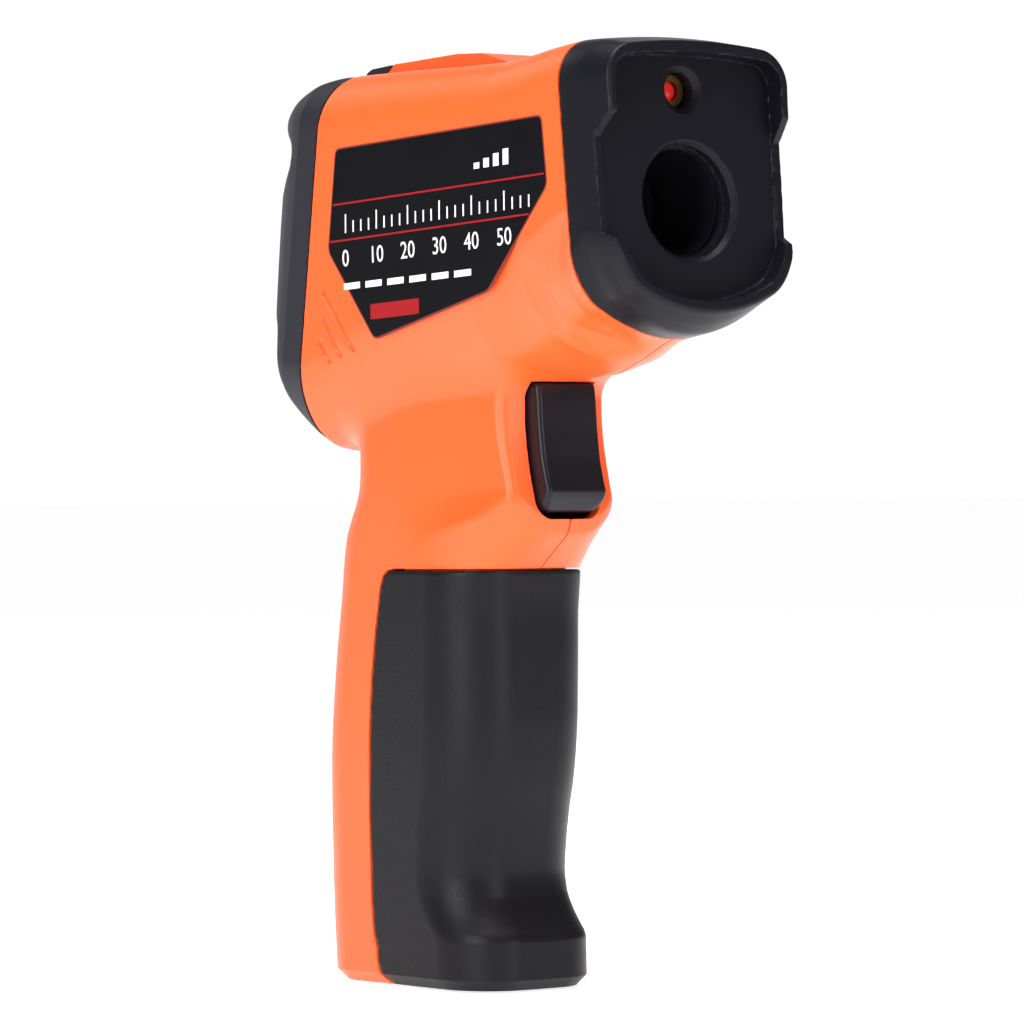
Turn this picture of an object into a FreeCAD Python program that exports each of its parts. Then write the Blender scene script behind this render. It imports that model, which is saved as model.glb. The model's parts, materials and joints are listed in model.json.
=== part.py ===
import FreeCAD, Part
import math
import os

import Sketcher
from FreeCAD import Placement, Rotation, Vector

# Pistol-type infrared thermometer.
# +X is the direction it is aimed, +Y is its left, +Z is up.  The origin is the middle
# of the flat foot under the handle.  All lengths are in millimetres, angles in degrees.

doc = FreeCAD.newDocument("InfraredThermometer")

# ---------------------------------------------------------------- driving dimensions

DRIVING = {
    # casing
    "wall": 2.0,
    "half_width": 20.5,
    "rear_top": 156.4,
    "rear_bottom": 91.0,
    "front_top": 158.6,
    "front_bottom": 109.3,
    "rear_plane_x": -15.2,
    "rear_plane_z": 134.5,
    "rear_tilt": 7.57,
    "front_plane_x": 54.5,
    "front_plane_z": 135.0,
    "front_tilt": 5.94,
    "rail_half_width": 8.0,
    "rail_top": 158.8,
    # handle
    "foot_corner": 9.0,
    "door_top": 71.0,
    "door_gap": 0.3,
    "hinge_x": 0.0,
    "hinge_z": 5.0,
    "hinge_pin_radius": 1.5,
    "hinge_play": 0.06,
    "door_heel_radius": 5.8,
    # nose and optics
    "rim_x": 64.9,
    "rim_z": 141.6,
    "rim_tilt": 4.3,
    "rim_half_width": 18.6,
    "rim_top": 157.4,
    "rim_bottom": 113.2,
    "rim_wall": 1.6,
    "face_recess": 4.5,
    "lens_axis_z": 131.4,
    "bore_radius": 9.3,
    "tube_radius": 11.0,
    "tube_bore": 8.75,
    "tube_front_x": 57.8,
    "tube_rear_x": 26.0,
    "lens_x": 40.0,
    "laser_axis_z": 149.7,
    "laser_radius": 3.0,
    "laser_front_x": 56.8,
    "laser_length": 14.0,
    "laser_aperture": 2.9,
    # trigger
    "trigger_half_width": 6.7,
    "trigger_slot_half": 7.1,
    "trigger_pin_x": 22.0,
    "trigger_pin_z": 106.5,
    "trigger_pin_radius": 1.25,
    "trigger_play": 0.06,
    # rear display, in the plane of the rear seam
    "window_half_width": 15.0,
    "window_low": -20.0,
    "window_high": 3.6,
    "key_row": -28.0,
    "key_pitch": 10.0,
    "key_width": 8.0,
    "key_height": 5.4,
    "key_play": 0.3,
    "board_back": -1.0,
    "board_thick": 1.6,
    # batteries
    "cell_radius": 5.25,
    "cell_length": 44.5,
    "cell_x": 5.0,
    "cell_bottom": 13.5,
    "cell_spacing": 11.0,
    # label
    "label_thick": 0.3,
}


class Size(float):
    """A number that also knows the spreadsheet expression it comes from."""

    def __new__(cls, value, text):
        size = float.__new__(cls, value)
        size.text = text
        return size

    def __add__(self, other):
        return Size(float(self) + float(other), f"({self.text} + {text_of(other)})")

    def __radd__(self, other):
        return Size(float(other) + float(self), f"({text_of(other)} + {self.text})")

    def __sub__(self, other):
        return Size(float(self) - float(other), f"({self.text} - {text_of(other)})")

    def __rsub__(self, other):
        return Size(float(other) - float(self), f"({text_of(other)} - {self.text})")

    def __mul__(self, other):
        return Size(float(self) * float(other), f"({self.text} * {text_of(other)})")

    def __rmul__(self, other):
        return Size(float(other) * float(self), f"({text_of(other)} * {self.text})")

    def __truediv__(self, other):
        return Size(float(self) / float(other), f"({self.text} / {text_of(other)})")

    def __neg__(self):
        return Size(-float(self), f"(-1 * {self.text})")


def text_of(value):
    return value.text if isinstance(value, Size) else repr(float(value))


def make_sheet():
    sheet = doc.addObject("Spreadsheet::Sheet", "Sizes")
    for row, (alias, number) in enumerate(DRIVING.items(), start=1):
        sheet.set(f"A{row}", alias)
        sheet.set(f"B{row}", str(number))
        sheet.setAlias(f"B{row}", alias)
    doc.recompute()
    return sheet


sheet = make_sheet()


def size(alias):
    return Size(float(sheet.get(alias)), f"Sizes.{alias}")


wall = size("wall")
half_width = size("half_width")
door_gap = size("door_gap")
lens_axis_z = size("lens_axis_z")
laser_axis_z = size("laser_axis_z")
cell_radius = size("cell_radius")

# the rear seam's own frame: X into the casing, Z up along the display
REAR = Placement(
    Vector(size("rear_plane_x"), 0, size("rear_plane_z")),
    Rotation(Vector(0, 1, 0), size("rear_tilt")),
)
# the nose rim's own frame: X out of the nose, Z up along the rim
RIM = Placement(
    Vector(size("rim_x"), 0, size("rim_z")),
    Rotation(Vector(0, 1, 0), -size("rim_tilt")),
)
# the plane where the casing ends and the nose cap begins
FRONT = Placement(
    Vector(size("front_plane_x"), 0, size("front_plane_z")),
    Rotation(Vector(0, 1, 0), -size("front_tilt")),
)

nodes = {}


def keep(name, thing):
    """Name a finished sub-part; its label is its file name."""
    thing.Label = name
    nodes[name] = thing
    return thing


def bind(thing, name, value):
    """Set a size and tie it to the spreadsheet."""
    setattr(thing, name, float(value))
    if isinstance(value, Size):
        thing.setExpression(name, value.text)


# ---------------------------------------------------------------- part design helpers


def new_body(name, placement=Placement()):
    body = doc.addObject("PartDesign::Body", name)
    body.Placement = placement
    return keep(name, body)


def new_sketch(body, role, offset=0.0):
    """A sketch on one of the body's own origin planes, shifted along that plane's normal."""
    sketch = body.newObject("Sketcher::SketchObject", body.Name + "_sketch")
    plane = next(item for item in body.Origin.OriginFeatures if item.Role == role)
    sketch.AttachmentSupport = [(plane, "")]
    sketch.MapMode = "FlatFace"
    sketch.AttachmentOffset = Placement(Vector(0, 0, float(offset)), Rotation())
    if isinstance(offset, Size):
        sketch.setExpression("AttachmentOffset.Base.z", offset.text)
    return sketch


def pin_point(sketch, line, end, point):
    """Hold one end of a line at its place, each coordinate tied to the sheet where it can be."""
    for kind, value in (("DistanceX", point[0]), ("DistanceY", point[1])):
        row = sketch.addConstraint(Sketcher.Constraint(kind, -1, 1, line, end, float(value)))
        if isinstance(value, Size):
            sketch.setExpression(f"Constraints[{row}]", value.text)


def draw_outline(sketch, corners):
    """A closed outline of straight lines through the corners."""
    first = sketch.GeometryCount
    count = len(corners)
    for index, corner in enumerate(corners):
        after = corners[(index + 1) % count]
        start = Vector(float(corner[0]), float(corner[1]), 0)
        finish = Vector(float(after[0]), float(after[1]), 0)
        sketch.addGeometry(Part.LineSegment(start, finish))
    for index in range(count):
        following = first + (index + 1) % count
        sketch.addConstraint(Sketcher.Constraint("Coincident", first + index, 2, following, 1))
    for index, corner in enumerate(corners):
        pin_point(sketch, first + index, 1, corner)


def draw_rectangle(sketch, low_u, low_v, high_u, high_v):
    draw_outline(sketch, [(low_u, low_v), (high_u, low_v), (high_u, high_v), (low_u, high_v)])


def draw_circle(sketch, centre, radius):
    place = Vector(float(centre[0]), float(centre[1]), 0)
    line = sketch.addGeometry(Part.Circle(place, Vector(0, 0, 1), float(radius)))
    pin_point(sketch, line, 3, centre)
    row = sketch.addConstraint(Sketcher.Constraint("Radius", line, float(radius)))
    if isinstance(radius, Size):
        sketch.setExpression(f"Constraints[{row}]", radius.text)


def pad(body, sketch, length, midplane=False):
    feature = body.newObject("PartDesign::Pad", body.Name + "_pad")
    feature.Profile = sketch
    feature.SideType = "Symmetric" if midplane else "One side"
    bind(feature, "Length", length)
    doc.recompute()
    return feature


def pocket(body, sketch, length, midplane=False, reverse=False):
    """Cut the sketch into the body, and make sure that it did cut something."""
    before = body.Tip.Shape.Volume
    feature = body.newObject("PartDesign::Pocket", body.Name + "_pocket")
    feature.Profile = sketch
    feature.SideType = "Symmetric" if midplane else "One side"
    feature.Reversed = reverse
    bind(feature, "Length", length)
    doc.recompute()
    if feature.Shape.Volume > before - 1e-6:
        raise RuntimeError(f"{body.Name}: the pocket cuts nothing")
    return feature


def revolve(body, corners):
    """Turn an outline (distance along X, radius) about the body's X axis."""
    sketch = new_sketch(body, "XZ_Plane")
    draw_outline(sketch, corners)
    feature = body.newObject("PartDesign::Revolution", body.Name + "_turned")
    feature.Profile = sketch
    feature.ReferenceAxis = (sketch, ["H_Axis"])
    feature.Angle = 360
    doc.recompute()
    return feature


def edges_where(shape, test):
    return [f"Edge{i}" for i, edge in enumerate(shape.Edges, start=1) if test(edge)]


def dress(body, kind, amount, test):
    """Fillet or chamfer the edges of the body's last feature that pass the test."""
    base = body.Tip
    names = edges_where(base.Shape, test)
    feature = body.newObject(f"PartDesign::{kind}", f"{body.Name}_{kind.lower()}")
    feature.Base = (base, names)
    bind(feature, "Radius" if kind == "Fillet" else "Size", amount)
    doc.recompute()
    return feature


def along(edge, direction):
    """Is this a straight edge along the given direction?"""
    if not isinstance(edge.Curve, Part.Line):
        return False
    return abs(abs(edge.Curve.Direction.dot(direction)) - 1) < 1e-4


# ---------------------------------------------------------------- solid helpers


def prism(points, low, high):
    """A side outline of (X, Z) points, spread from low to high along Y."""
    wire = Part.makePolygon([Vector(x, low, z) for x, z in points + points[:1]])
    return Part.Face(wire).extrude(Vector(0, high - low, 0))


def block(low, high):
    return Part.makeBox(high[0] - low[0], high[1] - low[1], high[2] - low[2], Vector(*low))


def rod(start, finish, radius):
    axis = Vector(*finish) - Vector(*start)
    return Part.makeCylinder(float(radius), axis.Length, Vector(*start), axis)


def arc_about(centre, radius, angles, to_point):
    """An arc about centre between two angles in degrees."""
    spots = []
    for degrees in (angles[0], (angles[0] + angles[1]) / 2, angles[1]):
        angle = math.radians(degrees)
        spots.append(to_point(centre[0] + radius * math.cos(angle), centre[1] + radius * math.sin(angle)))
    return Part.Arc(*spots).toShape()


def rounded_wire(low_u, high_u, low_v, high_v, radii, to_point, leans=(0.0, 0.0)):
    """A rectangle with rounded corners whose bottom and top edges may be crowned.

    radii are those of the top and the bottom corners.  leans are the angles in degrees at
    which the crowned bottom and top edges meet their corners, smoothly; 0 is a flat edge.
    to_point turns (u, v) into a point in space.
    """
    top_radius, low_radius = radii
    low_lean, top_lean = leans
    middle = (low_u + high_u) / 2
    half = (high_u - low_u) / 2

    def corner(radius, lean):
        """Half width and rise of the crowned edge, and the height of the corner's centre."""
        angle = math.radians(lean)
        reach = half - radius + radius * math.sin(angle)
        rise = reach * math.tan(angle / 2)
        return reach, rise, rise + radius * math.cos(angle)

    def crown(reach, level, crest, sign):
        start = to_point(middle + sign * reach, level)
        finish = to_point(middle - sign * reach, level)
        if abs(crest - level) < 1e-6:
            return Part.LineSegment(start, finish).toShape()
        return Part.Arc(start, to_point(middle, crest), finish).toShape()

    top_reach, top_rise, top_drop = corner(top_radius, top_lean)
    low_reach, low_rise, low_drop = corner(low_radius, low_lean)
    top_centre = high_v - top_drop
    low_centre = low_v + low_drop
    top_v = high_v - top_rise
    bottom_v = low_v + low_rise
    parts = [
        arc_about((high_u - top_radius, top_centre), top_radius, (0, 90 - top_lean), to_point),
        crown(top_reach, top_v, high_v, 1),
        arc_about((low_u + top_radius, top_centre), top_radius, (90 + top_lean, 180), to_point),
        Part.LineSegment(to_point(low_u, top_centre), to_point(low_u, low_centre)).toShape(),
        arc_about((low_u + low_radius, low_centre), low_radius, (180, 270 - low_lean), to_point),
        crown(low_reach, bottom_v, low_v, -1),
        arc_about((high_u - low_radius, low_centre), low_radius, (270 + low_lean, 360), to_point),
        Part.LineSegment(to_point(high_u, low_centre), to_point(high_u, top_centre)).toShape(),
    ]
    return Part.Wire(parts)


def upright_plane(frame, shift=0.0):
    """(Y, height in the frame) to a point, in the plane at X = shift of the frame."""
    return lambda u, v: frame.multVec(Vector(float(shift), float(u), float(v)))


def level_plane(height):
    """(X, Y) to a point at this height."""
    return lambda u, v: Vector(float(u), float(v), float(height))


def solid_of(shape):
    shape = shape.removeSplitter()
    return shape.Solids[0] if len(shape.Solids) == 1 else shape


def keep_shape(name, shape):
    thing = doc.addObject("Part::Feature", name)
    thing.Shape = shape
    thing.Placement = shape.Placement
    return keep(name, thing)


# ---------------------------------------------------------------- casing

# level sections of the handle: height, rear X, front X, half width
FOOT_SECTIONS = [(1.7, -23.8, 22.7, 14.5), (9.0, -24.2, 22.7, 14.5)]
GRIP_SECTIONS = [
    (9.0, -24.2, 22.7, 14.5),
    (13.0, -24.4, 19.4, 14.5),
    (20.0, -24.6, 17.3, 14.7),
    (30.0, -24.8, 18.4, 15.0),
    (45.0, -24.2, 20.3, 15.2),
    (60.0, -22.2, 20.5, 15.3),
    (71.0, -20.2, 21.0, 15.3),
]
NECK_SECTIONS = [
    (71.0, -20.2, 21.0, 15.3),
    (74.5, -19.4, 25.4, 15.3),
    (78.5, -18.0, 29.2, 15.3),
    (85.0, -15.4, 28.9, 15.6),
    (93.0, -17.2, 27.8, 16.9),
    (102.0, -18.6, 27.2, 18.8),
    (113.0, -17.2, 24.0, 20.3),
]


def handle_wire(section, inset=0.0, height=None):
    """One level section of the handle, with well rounded corners."""
    level, rear, front, side = section
    corner = size("foot_corner") + 0.5 - inset
    return rounded_wire(
        rear + inset, front - inset, inset - side, side - inset,
        (corner, corner), level_plane(level if height is None else height),
    )


def loft(wires, ruled=False):
    return Part.makeLoft(wires, True, ruled)


def handle_solid(inset):
    """The handle from foot to barrel; an inset gives the hollow inside the wall."""
    chamfer = 1.7
    if inset == 0.0:
        low = [handle_wire(FOOT_SECTIONS[0], chamfer, 0.0)]
    else:
        low = [handle_wire(FOOT_SECTIONS[0], inset, wall)]
    foot_wires = low + [handle_wire(section, inset) for section in FOOT_SECTIONS]
    if inset > 0.0:
        del foot_wires[1]
    pieces = [
        loft(foot_wires, True),
        loft([handle_wire(section, inset) for section in GRIP_SECTIONS]),
        loft([handle_wire(section, inset) for section in NECK_SECTIONS]),
    ]
    if inset > 0.0:
        top = NECK_SECTIONS[-1]
        pieces.append(loft([handle_wire(top, inset), handle_wire(top, inset, top[0] + 4)], True))
    return pieces[0].fuse(pieces[1:])


def rear_outline(inset, shift):
    """The casing's outline at the rear seam, in a plane parallel to it."""
    side = half_width - inset
    low = size("rear_bottom") - size("rear_plane_z") + inset
    high = size("rear_top") - size("rear_plane_z") + 0.2 - inset
    radii = (9.4 - inset, 13.0 - inset)
    return rounded_wire(-side, side, low, high, radii, upright_plane(REAR, shift), (12.0, 2.0))


def middle_outline(inset):
    """The barrel's outline where its flat top ends."""
    side = half_width - inset
    place = Placement(Vector(27, 0, 0), Rotation())
    low = 102.6 + inset
    high = size("rear_top") + 0.2 - inset
    radii = (8.4 - inset, 11.0 - inset)
    return rounded_wire(-side, side, low, high, radii, upright_plane(place), (15.0, 4.0))


def front_outline(inset, shift):
    """The casing's outline where the nose cap begins."""
    side = half_width - inset
    low = size("front_bottom") - size("front_plane_z") + inset
    high = size("front_top") - size("front_plane_z") - inset
    radii = (7.0 - inset, 8.5 - inset)
    return rounded_wire(-side, side, low, high, radii, upright_plane(FRONT, shift), (25.0, 7.0))


def barrel_solid(inset):
    over = 1.0 if inset > 0.0 else 0.0
    wires = [rear_outline(inset, -over), middle_outline(inset), front_outline(inset, over)]
    return loft(wires, True)


def door_zone(gap):
    """The space that belongs to the grip door, grown by a gap at its seam.

    Its heel is an arc about the hinge, so that the door clears the casing as it turns.
    """
    hinge_x = size("hinge_x")
    hinge_z = size("hinge_z")
    radius = size("door_heel_radius") + gap
    under = -1.0
    reach = 60.0
    drop = math.sqrt(radius**2 - hinge_z**2)
    turn = math.radians(200)
    start = Vector(hinge_x - drop, 0, 0)
    middle = Vector(hinge_x + radius * math.cos(turn), 0, hinge_z + radius * math.sin(turn))
    finish = Vector(hinge_x - radius, 0, hinge_z)
    seam = [(-6.6, 8.7), (-7.1, 15), (-7.3, 28.7), (-6.7, 44.8), (-4.9, 60), (-2.9, 69.0)]
    seam_points = [finish] + [Vector(x - gap, 0, z) for x, z in seam]
    curve = Part.BSplineCurve()
    curve.interpolate(seam_points)
    top = size("door_top") + gap
    corner = Vector(-0.6 - gap, 0, top)
    outer = [Vector(reach, 0, top), Vector(reach, 0, under), Vector(start.x, 0, under), start]
    edges = [
        Part.Arc(start, middle, finish).toShape(),
        curve.toShape(),
        Part.LineSegment(seam_points[-1], corner).toShape(),
        Part.LineSegment(corner, outer[0]).toShape(),
        Part.LineSegment(outer[0], outer[1]).toShape(),
        Part.LineSegment(outer[1], outer[2]).toShape(),
        Part.LineSegment(outer[2], outer[3]).toShape(),
    ]
    face = Part.Face(Part.Wire(edges))
    face.translate(Vector(0, -30, 0))
    return face.extrude(Vector(0, 60, 0))


def top_rail():
    """The sighting rail on the top, flat and then running out forwards."""
    side = size("rail_half_width")
    top = size("rail_top")
    outline = [(-8.1, 154.8), (-7.6, top), (9.0, top), (24.5, 156.5), (24.5, 154.8)]
    return prism(outline, -side, side)


def label_outline(grow=0.0):
    """The printed label's six corners on the side of the barrel, as (X, Z)."""
    corners = [(-8.0, 142.6), (48.2, 145.2), (49.6, 134.2), (33.8, 117.6), (2.7, 110.5), (-10.2, 125.6)]
    middle_x = sum(corner[0] for corner in corners) / len(corners)
    middle_z = sum(corner[1] for corner in corners) / len(corners)
    stretch = 1.0 + grow / 25.0
    return [(middle_x + (x - middle_x) * stretch, middle_z + (z - middle_z) * stretch) for x, z in corners]


def side_grooves():
    """Three short slanted grooves low on each side of the barrel."""
    tools = []
    for top, low in (((-12.1, 118.4), (-3.0, 108.3)), ((-12.8, 114.2), (-6.7, 107.3)),
                     ((-13.4, 109.9), (-10.2, 106.7))):
        for side in (-1, 1):
            face_y = side * half_width
            run = rod((top[0], face_y, top[1]), (low[0], face_y, low[1]), 0.75)
            tools.append(run)
    return tools


SCREW_PLACES = [(-6.0, 148.5), (44.0, 113.2), (-11.5, 97.5), (-16.5, 62.0), (-18.5, 16.0)]
SCREW_SEAT = 9.0


def screw_bosses(outer):
    posts = [rod((x, -30, z), (x, 30, z), 3.1) for x, z in SCREW_PLACES]
    return [outer.common(post) for post in posts]


def screw_holes():
    tools = []
    for x, z in SCREW_PLACES:
        tools.append(rod((x, -8.5, z), (x, SCREW_SEAT, z), 1.1))
        tools.append(rod((x, SCREW_SEAT, z), (x, 30, z), 2.7))
    return tools


def trigger_bosses(outer):
    """A post on each side that holds one end of the trigger pin."""
    x, z = size("trigger_pin_x"), size("trigger_pin_z")
    inner = size("trigger_slot_half")
    posts = [rod((x, side * inner, z), (x, side * 30, z), 3.0) for side in (-1, 1)]
    return [outer.common(post) for post in posts]


def ribs(outer):
    """Level ribs in the handle that back the battery frame, and upright ones for the optics."""
    sheets = [block((-26, -20, z), (-4.2, 20, z + 1.4)) for z in (31.0, 53.0)]
    sheets += [block((x, -21, 112), (x + 1.4, 21, 157)) for x in (42.4, 54.0)]
    return [outer.common(sheet) for sheet in sheets]


def rib_windows():
    """Room in the ribs for the tube, the laser and the leads."""
    carrier = block((40, -14.2, 117), (60, 14.2, 155.6))
    return [carrier, block((-21, -3.0, 20), (-14, 3.0, 60))]


def casing():
    """Both halves of the orange casing."""
    outer = barrel_solid(0.0).fuse(handle_solid(0.0)).removeSplitter()
    shell = outer.cut([barrel_solid(wall), handle_solid(wall)])
    floor = outer.common(block((-30, -25, size("door_top") + door_gap), (40, 25, 73.0)))
    shell = shell.fuse([floor, top_rail()])
    shell = shell.fuse(screw_bosses(outer) + trigger_bosses(outer))
    shell = shell.fuse([rib.cut(rib_windows()) for rib in ribs(outer)])
    slot = size("trigger_slot_half")
    tools = [
        door_zone(door_gap),
        block((17.0, -slot, 79.3), (30.6, slot, 105.4)),
        block((17.0, -slot, 79.3), (40.0, slot, 100.0)),
        block((-17, -5, 70), (-10, 5, 74)),
        rod((size("trigger_pin_x"), -12.2, size("trigger_pin_z")),
            (size("trigger_pin_x"), 12.2, size("trigger_pin_z")),
            size("trigger_pin_radius") + size("trigger_play")),
    ]
    recess = size("label_thick") + 0.1
    for low, high in ((-half_width - 1, recess - half_width), (half_width - recess, half_width + 1)):
        tools.append(prism(label_outline(0.2), low, high))
    shell = shell.cut(tools + screw_holes() + side_grooves())
    for name, low, high in (("right_housing", -30, 0), ("left_housing", 0, 30)):
        half = shell.common(block((-60, low, -10), (90, high, 200)))
        keep_shape(name, solid_of(half))


def battery_door():
    """The grip: a shell that swings about pins low in the handle."""
    outer = handle_solid(0.0).common(door_zone(0.0))
    shell = outer.cut(handle_solid(wall))
    shell = shell.cut(block((-60, -40, size("door_top")), (60, 40, 130)))
    x, z = size("hinge_x"), size("hinge_z")
    pins = []
    for side in (-1, 1):
        pins.append(rod((x, side * 10.6, z), (x, side * 13.5, z), size("hinge_pin_radius")))
        pins.append(rod((x, side * 12.3, z), (x, side * 13.5, z), 2.6))
    keep_shape("battery_door", solid_of(shell.fuse(pins)))


# ---------------------------------------------------------------- nose and optics


def rim_outline(inset, shift):
    """The rim at the front of the nose cap, or a smaller outline behind it."""
    side = size("rim_half_width") - inset
    low = size("rim_bottom") - size("rim_z") + inset
    high = size("rim_top") - size("rim_z") - inset
    radii = (5.0 - inset * 0.5, 6.5 - inset * 0.5)
    return rounded_wire(-side, side, low, high, radii, upright_plane(RIM, shift), (22.0, 7.0))


def nose_cap():
    """The black cap: a recessed face inside a rim, with the lens and laser openings."""
    recess = size("face_recess")
    rim_wall = size("rim_wall")
    outer = loft([front_outline(0.0, 0.0), rim_outline(0.0, 0.0)], True)
    basin = loft([rim_outline(rim_wall, -recess), rim_outline(rim_wall - 0.5, 1.0)], True)
    hollow = loft([front_outline(wall, -1.0), rim_outline(rim_wall + 0.8, -recess - wall)], True)
    face_x = size("rim_x") - recess
    collar = rod((58.0, 0, lens_axis_z), (face_x + 0.4, 0, lens_axis_z), size("bore_radius") + 2.6)
    laser_post = rod((57.0, 0, laser_axis_z), (face_x - 1, 0, laser_axis_z), size("laser_aperture") + 1.6)
    bore = rod((50, 0, lens_axis_z), (70, 0, lens_axis_z), size("bore_radius"))
    laser_bore = rod((50, 0, laser_axis_z), (70, 0, laser_axis_z), size("laser_aperture"))
    bore_mouth = Part.makeCone(
        size("bore_radius"), size("bore_radius") + 2.4, 2.4,
        Vector(face_x + 0.25, 0, lens_axis_z), Vector(1, 0, 0),
    )
    laser_mouth = Part.makeCone(
        size("laser_aperture"), size("laser_aperture") + 3.0, 3.0,
        Vector(face_x - 1.9, 0, laser_axis_z), Vector(1, 0, 0),
    )
    notches = [
        block((61.9, low, 125.7), (75, low + 6, 141.7)) for low in (-21.5, 15.5)
    ]
    cap = outer.cut([basin, hollow])
    cap = cap.fuse([outer.cut(basin).common(collar), outer.cut(basin).common(laser_post)])
    cap = cap.cut([bore, laser_bore, bore_mouth, laser_mouth] + notches)
    keep_shape("nose_cap", solid_of(cap))


def optics_placement():
    return Placement(Vector(0, 0, lens_axis_z), Rotation())


def lens_tube():
    """Stepped tube behind the lens opening, with the seats for lens, stop and detector."""
    front = size("tube_front_x")
    rear = size("tube_rear_x")
    outer = size("tube_radius")
    bore = size("tube_bore")
    lens = size("lens_x")
    body = new_body("lens_tube", optics_placement())
    revolve(body, [
        (front, bore), (front, outer), (rear + 4, outer), (rear, outer - 2.5), (rear, 4.8),
        (rear + 5, 4.8), (rear + 5, bore - 1.5), (lens - 2, bore - 1.5), (lens - 2, bore),
    ])


def infrared_lens():
    """Thin plano-convex lens against the tube's inner ledge."""
    lens = size("lens_x")
    edge = size("tube_bore") - 0.05
    body = new_body("infrared_lens", optics_placement())
    revolve(body, [
        (lens - 2, 0.0), (lens - 2, edge), (lens - 0.8, edge), (lens - 0.35, edge * 0.66),
        (lens - 0.1, edge * 0.33), (lens, 0.0),
    ])


def lens_ring():
    """Retaining ring in front of the lens."""
    lens = size("lens_x")
    edge = size("tube_bore") - 0.05
    body = new_body("lens_ring", optics_placement())
    inner = edge - 1.2
    revolve(body, [(lens - 0.6, inner), (lens - 0.6, edge), (lens + 1.6, edge), (lens + 1.6, inner)])


def field_stop():
    """Disc with a small hole, between the lens and the detector."""
    place = size("tube_rear_x") + 6.5
    edge = size("tube_bore") - 1.55
    body = new_body("field_stop", optics_placement())
    revolve(body, [(place, 2.2), (place, edge), (place + 0.8, edge), (place + 0.8, 2.2)])


def detector():
    """Thermopile in a round metal can with a wider flange."""
    rear = size("tube_rear_x")
    body = new_body("detector", optics_placement())
    flange, can = 4.75, 4.1
    revolve(body, [
        (rear, 0.0), (rear, flange), (rear + 0.6, flange), (rear + 0.6, can), (rear + 4, can), (rear + 4, 0.0),
    ])


def sensor_board():
    """Small square board across the back of the lens tube."""
    body = new_body("sensor_board", optics_placement())
    sketch = new_sketch(body, "YZ_Plane", size("tube_rear_x") - 1.2)
    draw_rectangle(sketch, -8.0, -8.0, 8.0, 8.0)
    pad(body, sketch, 1.2)
    dress(body, "Fillet", 1.0, lambda edge: along(edge, Vector(1, 0, 0)))


def laser_module():
    """Brass barrel with a bore for the small lens and a stepped tail."""
    front = size("laser_front_x")
    tail = front - size("laser_length")
    radius = size("laser_radius")
    body = new_body("laser_module", Placement(Vector(0, 0, laser_axis_z), Rotation()))
    revolve(body, [
        (tail, 0.0), (tail, radius - 0.6), (tail + 3, radius - 0.6), (tail + 3, radius),
        (front - 0.3, radius), (front, radius - 0.3), (front, 1.6), (front - 1.6, 1.6), (front - 1.6, 0.0),
    ])


def laser_lens():
    """Small clear lens in the front of the laser barrel."""
    seat = size("laser_front_x") - 1.6
    body = new_body("laser_lens", Placement(Vector(0, 0, laser_axis_z), Rotation()))
    revolve(body, [(seat, 0.0), (seat, 1.55), (seat + 0.6, 1.55), (seat + 1.0, 0.9), (seat + 1.1, 0.0)])


def optics_carrier():
    """Plastic cradle that holds the lens tube and the laser in line."""
    low_x, high_x = 44.0, 53.8
    top = laser_axis_z + size("laser_radius") + 1.5
    body = new_body("optics_carrier")
    outline = new_sketch(body, "YZ_Plane", low_x)
    draw_outline(outline, [
        (-14.0, lens_axis_z - 10), (-9.0, lens_axis_z - 13.2), (9.0, lens_axis_z - 13.2),
        (14.0, lens_axis_z - 10), (14.0, lens_axis_z + 9), (5.0, laser_axis_z - 1), (5.0, top),
        (-5.0, top), (-5.0, laser_axis_z - 1), (-14.0, lens_axis_z + 9),
    ])
    pad(body, outline, high_x - low_x)
    holes = new_sketch(body, "YZ_Plane", low_x)
    draw_circle(holes, (0.0, lens_axis_z), size("tube_radius") + 0.05)
    draw_circle(holes, (0.0, laser_axis_z), size("laser_radius") + 0.03)
    pocket(body, holes, high_x - low_x, reverse=True)


# ---------------------------------------------------------------- trigger group


def trigger():
    """Finger trigger, hung from its pin inside the barrel."""
    pin_x, pin_z = size("trigger_pin_x"), size("trigger_pin_z")
    body = new_body("trigger")
    side = new_sketch(body, "XZ_Plane")
    draw_outline(side, [
        (pin_x - 3, pin_z + 1), (pin_x - 1, pin_z + 3), (pin_x + 1, pin_z + 3), (pin_x + 3, pin_z + 1),
        (pin_x + 3.2, 102.8), (29.3, 102.8), (29.8, 99.5), (30.2, 94.4), (31.1, 89.4),
        (32.5, 85.8), (33.6, 84.4), (33.2, 83.2), (30.6, 80.5), (22.2, 80.5), (22.2, 97.5),
        (pin_x - 3, 101.0),
    ])
    pad(body, side, size("trigger_half_width") * 2, midplane=True)
    dress(body, "Fillet", 0.7, lambda edge: min(v.X for v in edge.Vertexes) > 29.0
          and abs(abs(edge.Vertexes[0].Y) - size("trigger_half_width")) < 0.01
          and abs(abs(edge.Vertexes[-1].Y) - size("trigger_half_width")) < 0.01)
    hole = new_sketch(body, "XZ_Plane")
    draw_circle(hole, (pin_x, pin_z), size("trigger_pin_radius") + size("trigger_play"))
    pocket(body, hole, size("trigger_half_width") * 2 + 2, midplane=True)
    hollow = new_sketch(body, "XZ_Plane")
    draw_outline(hollow, [(24.4, 82.3), (28.6, 82.3), (27.2, 96.0), (24.4, 96.0)])
    pocket(body, hollow, size("trigger_half_width") * 2 - 3, midplane=True)


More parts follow.
